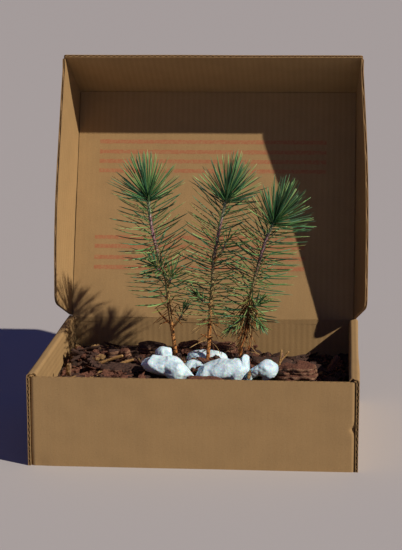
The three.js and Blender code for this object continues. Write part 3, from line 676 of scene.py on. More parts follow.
class SEEDLINGS_OT_lid(bpy.types.Operator):
    """Folds the lid: a panel that leans back, a front flap and two side flaps, each on its crease"""

    bl_idname = "seedlings.lid"
    bl_label = "Lid"

    panel_seed = 12  # its warp, which the bars follow
    side_room = 2.5 * GAP  # between the panel and the side flaps' fold lines
    strip = 1.6  # how far a strip of liner reaches over a crease
    front_steps, side_steps = 205, 122  # places across the flutes of half the front flap, of a side flap
    front_bent = 0.1  # the front flap is nearly flat, so that the side flaps' heads close against it

    def execute(self, context):
        materials = [finishes()["liner"], finishes()["flute"]]
        put("lid_panel_board", self.panel(), materials, "lid", ["lid_panel"])
        put("lid_front_board", self.front_flap(), materials, "front_flap",
            ["lid_front_flap"])
        for name, sign in (("left", -1), ("right", 1)):
            put(f"lid_side_board_{name}", self.side_flap(sign), materials, f"{name}_flap",
                [f"lid_side_flap_{name}"])
        put("lid_print_bars", self.print_bars(), [finishes()["ink"]], "lid")
        return {"FINISHED"}

    def panel(self):
        """The panel, its fold line at the hinge, and strips of liner behind its other creases."""
        half = FOLD_OUT - CREASE - self.side_room
        line, normal = sampled_path([("run", (-half, 0), (half, 0), (0, 1))])
        high = FOLD_UP - CREASE - GAP
        sheet = board_sheet(on_plane(line, RIGHT, LID_IN, HINGE), on_plane(normal, RIGHT, LID_IN),
                            LID_UP, steady(len(line), 0, high), self.panel_seed, rows=24)
        behind, aside = HINGE - CREASE * LID_IN, half * RIGHT
        foot, head = behind + CREASE * LID_UP, behind + FOLD_UP * LID_UP
        strips = [paper_strip(foot + side * aside, head + side * aside, side * self.strip * RIGHT, -LID_IN)
                  for side in (-1, 1)]
        upper = behind + high * LID_UP
        strips.append(paper_strip(upper - aside, upper + aside, self.strip * LID_UP, -LID_IN))
        return sheet + strips + [fold_line(HINGE - half * RIGHT, HINGE + half * RIGHT, 14)]

    def front_flap(self):
        """It flares a little towards its free edge, where its corners are rounded."""
        fold = math.radians(FRONT_FLAP["fold"])
        away = math.cos(fold) * LID_UP + math.sin(fold) * LID_IN
        face = math.cos(fold) * LID_IN - math.sin(fold) * LID_UP
        origin = HINGE + FOLD_UP * LID_UP
        depth = FRONT_FLAP["depth"]
        half = rounded([(0, 0), (FOLD_OUT, 0), (FOLD_OUT + FRONT_FLAP["flare"], depth), (0, depth)],
                       [0, FRONT_FLAP["corner"]])
        s, low, high = reach_within(half, self.front_steps)
        line = np.stack([np.concatenate([-s[:0:-1], s]), np.zeros(2 * len(s) - 1)], -1)
        low, high = (np.concatenate([side[:0:-1], side]) for side in (low, high))
        normal = np.repeat(face[None], len(line), 0)
        sheet = board_sheet(on_plane(line, RIGHT, face, origin), normal, away, (low, high), 15,
                            rows=10, bent=self.front_bent)
        return sheet + [fold_line(origin - FOLD_OUT * RIGHT, origin + FOLD_OUT * RIGHT, 16)]

    def side_flap(self, sign):
        """It is narrow at its foot, and its upper edge rises to the front flap. The whole flap is wrung
        about its fold: the further up, the further it is turned in."""
        fold = math.radians(SIDE_FLAP["fold"])
        away = math.cos(fold) * sign * RIGHT + math.sin(fold) * LID_IN
        face = math.cos(fold) * LID_IN - math.sin(fold) * sign * RIGHT
        origin = HINGE + sign * FOLD_OUT * RIGHT
        foot, head = CREASE + 2 * GAP, FOLD_UP - CREASE - GAP
        corners = [(SIDE_FLAP["foot"], foot + SIDE_FLAP["setback"]),
                   (SIDE_FLAP["head"], head + SIDE_FLAP["rise"])]
        outline = rounded([(0, foot), *corners, (0, head)], SIDE_FLAP["corners"])
        s, low, high = reach_within(outline, self.side_steps)
        line = np.stack([s, 0 * s], -1)
        normal = np.repeat(face[None], len(line), 0)
        sheet = board_sheet(on_plane(line, away, face, origin), normal, LID_UP, (low, high), 18 + sign,
                            rows=40)

        def wrung(points):
            local = points - origin
            up, out, within = local @ LID_UP, local @ RIGHT * sign, local @ LID_IN
            turn = np.radians(np.interp(up, (foot, head), SIDE_WRING))
            out, within = (out * np.cos(turn) - within * np.sin(turn),
                           out * np.sin(turn) + within * np.cos(turn))
            return (origin + up[:, None] * LID_UP + sign * out[:, None] * RIGHT
                    + within[:, None] * LID_IN)

        sheet = [(wrung(points), *rest) for points, *rest in sheet]
        return sheet + [fold_line(origin + foot * LID_UP, origin + head * LID_UP, 20 + sign)]

    # Two blocks of plain bars: each row's height above the hinge and the two ends of its bar.
    bars = [(row, -135.0, 127.0) for row in (205.4, 193.5, 182.2, 171.0)] + [
        (row, -137.0, 104.0) for row in (92.5, 82.0, 69.2, 57.6)]
    bar_height, bar_step = 4.6, 1.5
    proud, sunk = 0.05, 0.10  # how far a bar's two faces lie above and below the liner's

    def print_bars(self):
        """Plain bars of ink, each a thin slab just proud of the liner, whose edges wander by a tenth."""
        made = []
        for k, (row, left, right) in enumerate(self.bars):
            count = int((right - left) / self.bar_step)
            x = np.linspace(left, right, count)
            v = np.array([-1.0, -0.5, 0.5, 1.0])
            edge = 1 + 0.10 * ripples(np.stack([x, 0 * x + row, 0 * x], -1), 7.0, 30 + k)
            up = row + v * self.bar_height / 2 * edge[:, None]
            base = HINGE + x[:, None, None] * RIGHT + up[..., None] * LID_UP
            bent = WARP * ripples(base + CREASE * LID_IN, WARP_PITCH, self.panel_seed)
            top = base + (CREASE + self.proud + bent)[..., None] * LID_IN
            bottom = base + (CREASE - self.sunk + bent)[..., None] * LID_IN
            made.append(body(np.stack([top, bottom]).reshape(-1, 3), slab_faces(count, len(v))))
        return made


# Bed of mulch

MULCH_EDGE = 57.0
WEAVE, ASLANT = 2.4, 1.4  # the heights of its two sets of low waves
BED_RIPPLES = ((1.6, 17.0, 41), (0.9, 6.0, 42))  # the height, pitch and seed of each
BED_SUNK = 1.2  # how far the earth lies under the level that the flakes lie at
# Hills and hollows, each with its height or depth, its middle and how wide it is each way. The cover
# lies lower than the solid bed round the stones, behind on the right and under the sticks.
HILLS = [(17.0, (0, 20), (105, 90)), (13.0, (-122, 40), (34, 40))]
HOLLOWS = [(4.5, (2, 12), (42, 26)), (12.0, (98, 90), (60, 56)), (8.0, (30, -47), (52, 20)),
           (6.0, (-28, -46), (24, 16)), (3.5, (-108, 2), (26, 16))]


def mulch_height(x, y):
    """The bed's height: an even level, bell-shaped hills and hollows, and two sets of low waves, one
    crossed like a weave and one that runs aslant."""
    height = MULCH_EDGE + WEAVE * np.sin(x / 14 + 1.3) * np.cos(y / 15) + ASLANT * np.sin(x / 10 + y / 12)
    for rise, at, wide in HILLS + [(-depth, at, wide) for depth, at, wide in HOLLOWS]:
        height = height + rise * np.exp(-(((x - at[0]) / wide[0]) ** 2) - ((y - at[1]) / wide[1]) ** 2)
    return height


def turned(angles):
    """Rotations from angles in degrees, a row each: roll about X, then tilt about Y, then turn about
    Z. A positive tilt takes the end towards +X down."""
    turn, tilt, roll = np.radians(angles).T
    zero, one = np.zeros(len(angles)), np.ones(len(angles))

    def about(rows):
        return np.stack([np.stack(row, -1) for row in rows], -2)

    about_z = about([[np.cos(turn), -np.sin(turn), zero], [np.sin(turn), np.cos(turn), zero],
                     [zero, zero, one]])
    about_y = about([[np.cos(tilt), zero, np.sin(tilt)], [zero, one, zero],
                     [-np.sin(tilt), zero, np.cos(tilt)]])
    about_x = about([[one, zero, zero], [zero, np.cos(roll), -np.sin(roll)],
                     [zero, np.sin(roll), np.cos(roll)]])
    return about_z @ about_y @ about_x


def placed(points, angles, at):
    """Points turned by three angles, as turned has them, and taken to their place."""
    return points @ turned(np.array([angles], float))[0].T + np.array(at)


# A slab of bark. Shares are of its length or width, a pitch is in millimetres, and a ripple is a pitch
# and a height: along its ends, along its edges, over each sheet, and the coarse and fine grain.
SLAB = {"less": 0.14, "slip": 0.02, "narrowing": 0.42, "bow": (0.03, 0.10), "overlap": 0.62, "thin": 0.4,
        "draw_in": (0.98, 0.97), "ends": (7.0, 0.05), "edges": (10.0, 0.10), "sheet": (16.0, 0.05),
        "coarse": (4.0, 0.22), "fine": (1.8, 0.16)}


def bark_slab(at, size, angles, seed, sheets=3, across=56, deep=32):
    """A slab of bark: sheets that lie on each other, each a grid over u and v from -1 to 1.

    Its outline is a rounded oblong, |u|^4 narrowing it, whose edges wander by ripples. It bows along
    and across, ripples in the large, and carries grain that runs along it. Rims are painted 1."""
    u = np.linspace(-1, 1, across)[:, None]
    v = np.linspace(-1, 1, deep)[None, :]
    length, width, thick = np.array(size, float)
    made = []

    def ripple(kind, points, first):
        pitch, height = SLAB[kind]
        return height * ripples(points, pitch, seed + first)

    for i in range(sheets):
        random = np.random.default_rng(seed + i)
        less = 1 - random.uniform(0.0, SLAB["less"])
        flat = np.stack(np.broadcast_arrays(u * length / 2, v * width / 2, 0 * u * v), -1)
        along_edge = np.stack(np.broadcast_arrays(u * length / 2, 3.0 * np.sign(v), 0 * u * v), -1)
        x = flat[..., 0] * less * (1 + ripple("ends", flat * (0, 1, 0), i + 10))
        y = flat[..., 1] * less * (1 - SLAB["narrowing"] * u ** 4)
        y = y * (1 + ripple("edges", along_edge, i + 20))
        bow = SLAB["bow"][1] * width * (1 - v ** 2) - SLAB["bow"][0] * length * u ** 2
        level = (i - (sheets - 1) / 2) * thick / sheets + bow + thick * ripple("sheet", flat, i)
        # The fine grain is drawn out fourfold along the slab.
        grain = ripple("fine", flat * (0.25, 1, 1), 30) + ripple("coarse", flat, 40)
        half = thick / sheets * SLAB["overlap"] * (1 - SLAB["thin"] * v ** 8) * (1 - SLAB["thin"] * u ** 8)
        top = np.stack([x, y, level + half + grain], -1)
        bottom = np.stack([x * SLAB["draw_in"][0], y * SLAB["draw_in"][1], level - half + grain], -1)
        local = np.stack([top, bottom]).reshape(-1, 3)
        local[:, :2] += random.uniform(-SLAB["slip"], SLAB["slip"], 2) * (length, width)
        faces = slab_faces(across, deep)
        rim = np.arange(len(faces)) >= 4 * (across - 1) * (deep - 1)
        made.append(body(placed(local, angles, at), faces, None, rim.astype(int)))
    return made


# A flake. A wave's number is its height, as a share of the half size that it changes.
FLAKE = {"narrowing": 0.85, "edge_wave": 0.18, "end_wave": 0.12, "ragged": (0.82, 1.12), "cupped": 0.35,
         "bowed": 0.2, "grain": 0.35, "thin": (0.3, 0.45), "rough": 0.3, "draw_in": (0.94, 0.92)}


def flakes(places, angles, sizes, seed, across=7, deep=5):
    """Bark flakes as closed slabs, worked out together.

    Each is a grid over u and v from -1 to 1. Its half width narrows towards its ends as the root of
    1 - |u|^3, its edges and faces are rippled, it bows along and across, and its turn, tilt and
    roll carry it to its place."""
    random = np.random.default_rng(seed)
    count = len(places)
    u = np.linspace(-1, 1, across)[None, :, None]
    v = np.linspace(-1, 1, deep)[None, None, :]
    half = sizes[:, :, None, None] / 2

    def wave(low, high):
        return random.uniform(low, high, (count, 1, 1))

    narrowing = np.sqrt(1 - FLAKE["narrowing"] * np.abs(u) ** 3)
    narrowing = narrowing * (1 + FLAKE["edge_wave"] * np.sin(wave(2, 6) * u + wave(0, 6)))
    ragged = random.uniform(*FLAKE["ragged"], (count, across, deep))
    x = half[:, 0] * (u + FLAKE["end_wave"] * np.sin(wave(2, 5) * v + wave(0, 6))) * ragged
    y = half[:, 1] * v * narrowing * ragged
    cupped = wave(-FLAKE["cupped"], FLAKE["cupped"]) * half[:, 1] * (v * narrowing) ** 2
    bow = cupped + wave(-FLAKE["bowed"], FLAKE["bowed"]) * half[:, 1] * u ** 2
    grain = half[:, 2] * FLAKE["grain"] * np.sin(wave(3, 8) * v + wave(0, 6) + 1.5 * u)
    thin_end, thin_edge = FLAKE["thin"]
    thin = half[:, 2] * (1 - thin_edge * np.abs(v) ** 3) * (1 - thin_end * np.abs(u) ** 4)
    rough = half[:, 2] * random.uniform(-FLAKE["rough"], FLAKE["rough"], (2, count, across, deep))
    x_under, y_under = x * FLAKE["draw_in"][0], y * FLAKE["draw_in"][1]
    top = np.stack(np.broadcast_arrays(x, y, bow + grain + thin + rough[0]), -1)
    bottom = np.stack(np.broadcast_arrays(x_under, y_under, bow + grain - thin + rough[1]), -1)
    local = np.stack([top, bottom], 1).reshape(count, -1, 3)
    points = np.einsum("nij,npj->npi", turned(angles), local) + places[:, None]
    each = 2 * across * deep
    faces = repeated(slab_faces(across, deep), count, each)
    return body(points.reshape(-1, 3), faces)


# The stones' lumps: each has its place, its three radii, and how far its right end is tipped down.
STONES = [
    [((-42, -22, 77.5), (21, 15, 10.5), 12), ((-55, -22, 80.5), (11, 10, 6), 18),
     ((-27, -26, 74), (17, 14, 12.5), 34), ((-14, -28, 69.5), (12, 11, 7.5), 28)],
    [((22, -28, 74), (22, 14, 12), -10), ((3, -30, 71), (15, 12, 8.5), -28),
     ((37, -28, 74), (15.5, 13, 13.5), -6), ((48, -26, 82), (6.5, 9, 12.5), 6),
     ((40, -30, 69), (12, 11, 9), 0)],
    [((70, -31, 77.5), (12, 11, 8.4), 6), ((73, -31, 72), (9.5, 8, 5.5), -50),
     ((58.5, -31, 75.5), (9.5, 9, 5.5), -40), ((51, -31, 68.5), (4.2, 7, 8), 24)],
    [((-7, 34, 70.5), (18, 12, 10), -10), ((12, 33, 70.5), (16, 12, 10.5), 10),
     ((6, 29, 68), (20, 11, 9), 0)],
    [((-42, 14, 78), (10.5, 10, 11.5), 8)],
    [((-11, 2, 70), (12, 9, 6.5), -8), ((-4, 0, 70.5), (8.5, 8, 6), 6)],
]


class SEEDLINGS_OT_mulch(bpy.types.Operator):
    """Fills the tray with composted bark and strews loose flakes, chips and shreds over it"""

    bl_idname = "seedlings.mulch"
    bl_label = "Mulch"

    grid = (150, 125)
    kinds = [("bark_dark", 0.54, "mulch"), ("bark_red", 0.40, "bark"), ("bark_pale", 0.06, "dry_stick")]
    shreds = {"stretch": 1.5, "broad": (0.05, 0.09), "thick": (0.6, 1.0)}
    shred_share = 0.16
    length_spread, shortest, longest = 0.42, 5.0, 32.0
    wall_room = 7.0  # how far the middle of a flake stays from a wall
    wall_turn = 0.6  # a flake nearer to a wall than this share of its length lies along it
    tilt_spread, roll_spread, wall_spread = 15.0, 22.0, 8.0
    bedded = (-0.8, 2.0)  # how far a flake's middle lies above the bed
    stone_room = (2.0, 4.0)  # how far flakes stay from a stone, aside and in front or behind

    def execute(self, context):
        made = finishes()
        self.random = np.random.default_rng(101)
        put("mulch_ground", [self.ground()], [made["earth"]], "tray", ["mulch_bed"])
        count = context.scene.seedling_ground.flakes
        for name, share, slot in self.kinds:
            put(f"flakes_{name}", [self.strewn(int(count * share))], [made[name]], "tray")
        shreds = self.strewn(int(count * self.shred_share), **self.shreds)
        put("shreds", [shreds], [made["bark_red"]], "tray")
        self.chips(made)
        self.sticks(made)
        return {"FINISHED"}

    def ground(self):
        """The bed's top as a grid over the bed's own height, roughened by two sizes of ripple, on a
        flat underside."""
        low, high = span("mulch_bed")
        edges = [np.linspace(low[k], high[k], self.grid[k]) for k in (0, 1)]
        x, y = np.meshgrid(*edges, indexing="ij")
        places = np.stack([x, y, 0 * x], -1)
        z = mulch_height(x, y) - BED_SUNK + sum(
            height * ripples(places, pitch, seed) for height, pitch, seed in BED_RIPPLES)
        top = np.stack([x, y, z], -1)
        bottom = np.stack([x, y, np.full_like(x, low[2])], -1)
        return body(np.stack([top, bottom]).reshape(-1, 3), slab_faces(*self.grid))

    def clear_of_stones(self, x, y):
        """True where a place is outside each stone's plan and the room that it keeps round it."""
        clear = np.ones(len(x), bool)
        for at, radii, _ in sum(STONES, []):
            wide, deep = radii[0] + self.stone_room[0], radii[1] + self.stone_room[1]
            clear &= ((x - at[0]) / wide) ** 2 + ((y - at[1]) / deep) ** 2 > 1
        return clear

    def strewn(self, count, stretch=1.0, broad=(0.36, 0.72), thick=(1.6, 4.6)):
        """Flakes at seeded places on the bed, lying near its slope, clear of the stones. They are as
        long as usual times stretch, and as wide as that times broad."""
        random = self.random
        low, high = span("mulch_bed")
        usual = bpy.context.scene.seedling_ground.flake_length / MM
        length = random.lognormal(math.log(usual * stretch), self.length_spread, count)
        length = np.clip(length, self.shortest, self.longest)
        x, y = (random.uniform(low[k] + self.wall_room, high[k] - self.wall_room, count) for k in (0, 1))
        keep = self.clear_of_stones(x, y)
        x, y, length = x[keep], y[keep], length[keep]
        count = len(x)
        sizes = np.stack([length, length * random.uniform(*broad, count),
                          random.uniform(*thick, count)], -1)
        angles = np.stack([random.uniform(0, 360, count), random.normal(0, self.tilt_spread, count),
                           random.normal(0, self.roll_spread, count)], -1)
        # A flake near a wall is turned along it, so that its ends stay inside the tray.
        near_side = np.minimum(high[0] - x, x - low[0]) < self.wall_turn * length
        near_end = np.minimum(high[1] - y, y - low[1]) < self.wall_turn * length
        angles[near_side, 0] = 90 + random.normal(0, self.wall_spread, near_side.sum())
        angles[near_end, 0] = random.normal(0, self.wall_spread, near_end.sum())
        both = near_side & near_end
        x, y = x[~both], y[~both]
        z = mulch_height(x, y) + random.uniform(*self.bedded, len(x))
        return flakes(np.stack([x, y, z], -1), angles[~both], sizes[~both], random.integers(1 << 30))

    # The chips that the solids hold, each with its size, turn, tilt and roll, and its bark.
    large = [
        ((-86, -6, 66.5), (46, 22, 9), (3, 2, 4), "bark_dark"),
        ((100, -19, 71.5), (44, 25, 12), (-8, -4, -5), "bark_red"),
        ((138, 30, 66), (26, 12, 5), (10, -62, 0), "bark_red"),
        ((7, -62, 70), (38, 22, 8), (4, 3, -6), "bark_red"),
        ((-132, 42, 70), (34, 24, 8), (32, -9, 6), "bark_dark"),
        ((14, 82, 69), (34, 20, 9), (-18, 12, 8), "bark_dark"),
    ]

    # Smaller slabs lie among them.
    loose = [
        ((74, 18, 71.5), (46, 20, 7), (4, 4, 2), "bark_dark"),
        ((78, 50, 70), (13, 9, 6), (-10, -24, 10), "bark_dark"),
        ((109, 4, 70.5), (24, 14, 8), (-22, 14, 4), "bark_red"),
        ((17, 60, 76.5), (30, 16, 7), (6, -8, 12), "bark_red"),
        ((-98, 30, 74.5), (15, 12, 9), (20, 4, -10), "bark_dark"),
        ((-86, 27, 77), (12, 11, 8), (-30, -8, 6), "bark_red"),
        ((-137.5, -40, 76), (13, 6, 3), (60, -84, 0), "bark_pale"),
        ((-60, 62, 75), (34, 20, 8), (14, 6, 10), "bark_dark"),
        ((-20, 74, 75), (26, 16, 7), (-12, -6, 8), "bark_red"),
        ((52, -36, 72.5), (3.5, 13, 1.6), (-12, 4, 40), "bark_pale"),
    ]

    def chips(self, made):
        """The chips, a piece each, and the smaller slabs, a piece for each kind of bark."""
        for k, (at, size, angles, bark) in enumerate(self.large):
            put(f"chip_{k + 1}", bark_slab(at, size, angles, 200 + 50 * k),
                [made[bark], made["bark_rim"]], "tray", [f"bark_chip_{k + 1}"], smooth=True)
        for bark in ("bark_dark", "bark_red", "bark_pale"):
            slabs = [bark_slab(at, size, angles, 600 + 50 * k, 2, 36, 22)
                     for k, (at, size, angles, name) in enumerate(self.loose) if name == bark]
            put(f"slabs_{bark}", sum(slabs, []), [made[bark], made["bark_rim"]], "tray",
                smooth=True)

    # The sticks that the solids hold: the places that each runs through, and its radius.
    twigs = {
        "stick_1": ([[(-114, -6, 63), (-96, -1, 70), (-74, 3, 77)]], 1.8),
        "stick_2": ([[(-124, 14, 64), (-106, 12, 72), (-86, 9, 79.5)]], 2.0),
        "forked_twig": ([[(79, -8, 62), (82, -9, 78), (92, -8, 91)],
                         [(79, -8, 62), (82, -9, 78), (84, -12, 94)]], 1.5),
    }

    def sticks(self, made):
        """Each stick is a furrowed limb that tapers by a third, and the forked twig is two."""
        for name, (paths, radius) in self.twigs.items():
            rods = [limb_surface(smooth_through(places), lambda s: radius * (1 - 0.35 * s),
                                 rings=60, sides=14, furrow=0.22, seed=60 + k)
                    for k, places in enumerate(paths)]
            put(f"{name}_bark", rods, [made["stick"]], "tray", [name], smooth=True)


class SEEDLINGS_OT_stones(bpy.types.Operator):
    """Breaks the white stones: lumps that are chipped flat in places and crumpled all over"""

    bl_idname = "seedlings.stones"
    bl_label = "Stones"

    breaks = 16  # planes that flatten a stone
    flattened = 0.85  # how much of what stands out past a plane is pressed in
    voxel = 0.9
    wear = 10  # rounds of smoothing where lumps meet
    crumple, creases, grit = (15.0, 0.6), (8.0, 0.32), (2.6, 0.08)  # the pitch and height of each ripple

    def execute(self, context):
        for k, lumps in enumerate(STONES):
            shell = together([self.lump(*lump, 10 * k + i) for i, lump in enumerate(lumps)])
            points, faces = self.merged(shell)
            put(f"marble_{k + 1}", [body(self.broken(points, 70 + k), faces)],
                [finishes()["marble"]], "tray", [f"stone_{k + 1}"], smooth=True)
        return {"FINISHED"}

    def lump(self, at, radii, tip, seed):
        """A ball of rings drawn out to three radii, swollen by a smooth field and tipped."""
        rings, sides = 40, 64
        tall = np.pi * (np.arange(rings) + 0.5) / rings
        round_ = 2 * np.pi * np.arange(sides) / sides
        ball = np.stack(np.broadcast_arrays(
            np.sin(tall)[:, None] * np.cos(round_), np.sin(tall)[:, None] * np.sin(round_),
            np.cos(tall)[:, None] + 0 * round_), -1)
        swell = 1 + 0.07 * ripples(ball, 2.4, seed)
        points = (ball * swell[..., None] * np.array(radii)).reshape(-1, 3)
        return body(placed(points, (0.0, tip, 0.0), at), rod_faces(rings, sides))

    def merged(self, shell):
        """Lumps that grew together, as the one skin that a voxel remesh draws round them."""
        mesh = bpy.data.meshes.new("lumps")
        mesh.from_pydata((shell[0] * MM).tolist(), [], shell[1].tolist())
        lumps = linked("lumps", mesh)
        remesh = lumps.modifiers.new("skin", "REMESH")
        remesh.mode = "VOXEL"
        remesh.voxel_size = self.voxel * MM
        soften = lumps.modifiers.new("wear", "SMOOTH")
        soften.factor, soften.iterations = 0.5, self.wear
        skin = lumps.evaluated_get(bpy.context.evaluated_depsgraph_get()).to_mesh()
        skin.calc_loop_triangles()
        points = np.zeros(len(skin.vertices) * 3)
        skin.vertices.foreach_get("co", points)
        faces = np.zeros(len(skin.loop_triangles) * 3, np.int32)
        skin.loop_triangles.foreach_get("vertices", faces)
        bpy.data.objects.remove(lumps)
        return points.reshape(-1, 3) / MM, faces.reshape(-1, 3)

    def broken(self, points, seed):
        """Planes press in what stands out past them, then three sizes of ripple crumple the faces: wide
        and round ones, ones folded to sharp creases, and grit."""
        random = np.random.default_rng(seed)
        middle = points.mean(0)
        away = points - middle
        for way in unit(random.normal(size=(self.breaks, 3))):
            reach = away @ way
            limit = reach.max() * random.uniform(0.80, 0.94)
            away = away - np.clip(reach - limit, 0, None)[:, None] * self.flattened * way

        def field(pitch, first):
            return np.stack([ripples(away, pitch, seed + first + k) for k in range(3)], -1)

        round_ = self.crumple[1] * field(self.crumple[0], 1)
        folded = self.creases[1] * (0.5 - np.abs(field(self.creases[0], 4)))
        return middle + away + round_ + folded + self.grit[1] * field(self.grit[0], 7)


# Plants

def smooth_through(places, steps=80):
    """A centripetal Catmull-Rom curve through places, with its ends continued in a straight line."""
    p = np.array(places, float)
    p = np.concatenate([[2 * p[0] - p[1]], p, [2 * p[-1] - p[-2]]])
    w = np.linspace(0, 1, steps, endpoint=False)[:, None]
    pieces = []
    for a, b, c, d in zip(p, p[1:], p[2:], p[3:]):
        before, here, after = (math.sqrt(np.linalg.norm(m - n)) for m, n in ((b, a), (c, b), (d, c)))
        leave = ((b - a) / before - (c - a) / (before + here) + (c - b) / here) * here
        arrive = ((c - b) / here - (d - b) / (here + after) + (d - c) / after) * here
        pieces.append(b + leave * w + (-3 * b + 3 * c - 2 * leave - arrive) * w ** 2
                      + (2 * b - 2 * c + leave + arrive) * w ** 3)
    return np.concatenate(pieces + [p[-2:-1]])


def bowed(foot, middle, tip, steps=60):
    """A quadratic curve."""
    s = np.linspace(0, 1, steps)[:, None]
    return (1 - s) ** 2 * foot + 2 * s * (1 - s) * middle + s ** 2 * tip


def run_of(line):
    """A line's length and the share of it at each place."""
    marks = marks_along(line)
    return marks[-1], marks / marks[-1]


def at_share(line, share):
    """Places and headings by share of a line's length; past its tip it runs on straight."""
    length, marks = run_of(line)
    held = np.clip(share, 0, 1)
    place = np.stack([np.interp(held, marks, line[:, k]) for k in range(3)], -1)
    slope = np.gradient(line, marks, axis=0)
    ahead = unit(np.stack([np.interp(held, marks, slope[:, k]) for k in range(3)], -1))
    return place + ((share - held) * length)[..., None] * ahead, ahead


def framed(ahead, side=BACK):
    """Two ways square to a heading: across, which keeps near to side, and over."""
    across = unit(side - (ahead @ side)[..., None] * ahead)
    return across, np.cross(across, ahead)


# A needle's cushion and the scar that it leaves: how high or deep, half as long and half as wide.
CUSHION = (0.34, 1.1, 0.9)
SCAR = (0.22, 0.7, 1.9)
DRAWN_OUT = 5.0  # furrows are this many times longer than they are wide


def limb_surface(line, radius_at, rings, sides, furrow, seed, cushions=(), scars=()):
    """A limb's skin: rings round its line, whose radius is its taper, plus furrows that run along it
    and a small cushion under each needle, by a bell of the distance to it. A scar is a shallow oval
    dent, painted 1. Both ends close to a dome."""
    share = np.linspace(0, 1, rings)
    foot, ahead = at_share(line, share)
    across, over = framed(ahead)
    angle = 2 * np.pi * np.arange(sides) / sides
    length = run_of(line)[0]
    radius = radius_at(share)[:, None] + 0 * angle
    field = np.stack(np.broadcast_arrays(
        3 * np.cos(angle)[None], 3 * np.sin(angle)[None], share[:, None] * length / DRAWN_OUT), -1)
    radius = radius + furrow * ripples(field, 4.0, seed) + 0.4 * furrow * ripples(field, 1.7, seed + 1)
    marked = np.zeros((rings, sides), bool)

    def off(mark, size):
        """How far each place is from a mark, squared, in the mark's own half lengths and widths."""
        (place, turn), (_, long, wide) = mark, size
        gone = (share[:, None] - place) * length
        round_ = ((angle[None] - turn + np.pi) % (2 * np.pi) - np.pi) * radius
        return (gone / long) ** 2 + (round_ / wide) ** 2

    for mark in cushions:
        radius = radius + CUSHION[0] * np.exp(-off(mark, CUSHION))
    for mark in scars:
        within = off(mark, SCAR)
        radius = radius - SCAR[0] * np.exp(-within)
        marked |= within < 1
    # The last rings draw in as a quarter circle does.
    ends = np.clip(np.minimum(share, 1 - share) * length / radius_at(share), 0, 1)
    radius = radius * np.sqrt(np.clip(1 - (1 - ends) ** 2, 0.02, 1))[:, None]
    spoke = np.cos(angle)[None, :, None] * across[:, None] + np.sin(angle)[None, :, None] * over[:, None]
    points = foot[:, None] + radius[..., None] * spoke
    faces = rod_faces(rings, sides)
    uv = np.stack(np.broadcast_arrays(angle[None] / (2 * np.pi), share[:, None]), -1)
    paint = np.zeros(len(faces), int)
    paint[:2 * (rings - 1) * sides] = np.tile(marked[:-1].ravel(), 2)
    return body(points.reshape(-1, 3), faces, uv.reshape(-1, 2), paint)


# A needle's section is half round, as where two grow from one sheath.
HALF_ROUND = np.array([(-1.0, -0.35), (0.0, -0.5), (1.0, -0.35), (0.62, 0.42), (-0.62, 0.42)])


def blades(foot, middle, tip, width, seed, rings=10):
    """Needles, all at once: a half-round section carried along quadratic curves. It is slim at the
    foot, widest past a quarter of the way and comes to a point as the root of what is left."""
    count = len(foot)
    random = np.random.default_rng(seed)
    s = np.linspace(0, 1, rings)[None, :, None]
    line = (1 - s) ** 2 * foot[:, None] + 2 * s * (1 - s) * middle[:, None] + s ** 2 * tip[:, None]
    ahead = unit((1 - s) * (middle - foot)[:, None] + s * (tip - middle)[:, None])
    guide = unit(random.normal(size=(count, 1, 3)))
    across = unit(guide - (guide * ahead).sum(-1, keepdims=True) * ahead)
    over = np.cross(across, ahead)
    taper = np.minimum(0.62 + 1.6 * s, 1.0) * np.sqrt(np.clip(1.03 - s ** 7, 0.03, 1))
    size = taper * width[:, None, None] / 2
    points = (line[:, :, None] + (size * across)[:, :, None] * HALF_ROUND[:, :1]
              + (size * over)[:, :, None] * HALF_ROUND[:, 1:])
    sides = len(HALF_ROUND)
    faces = repeated(rod_faces(rings, sides), count, rings * sides)
    uv = np.broadcast_to(np.stack(np.broadcast_arrays(
        np.linspace(0, 1, sides)[None], s[0]), -1), (count, rings, sides, 2))
    return body(points.reshape(-1, 3), faces, uv.reshape(-1, 2))


STEM_FOOT = 70.0  # where the stems' lines start, just inside the mulch
SPIRAL = 137.5  # degrees from each needle's place to the next

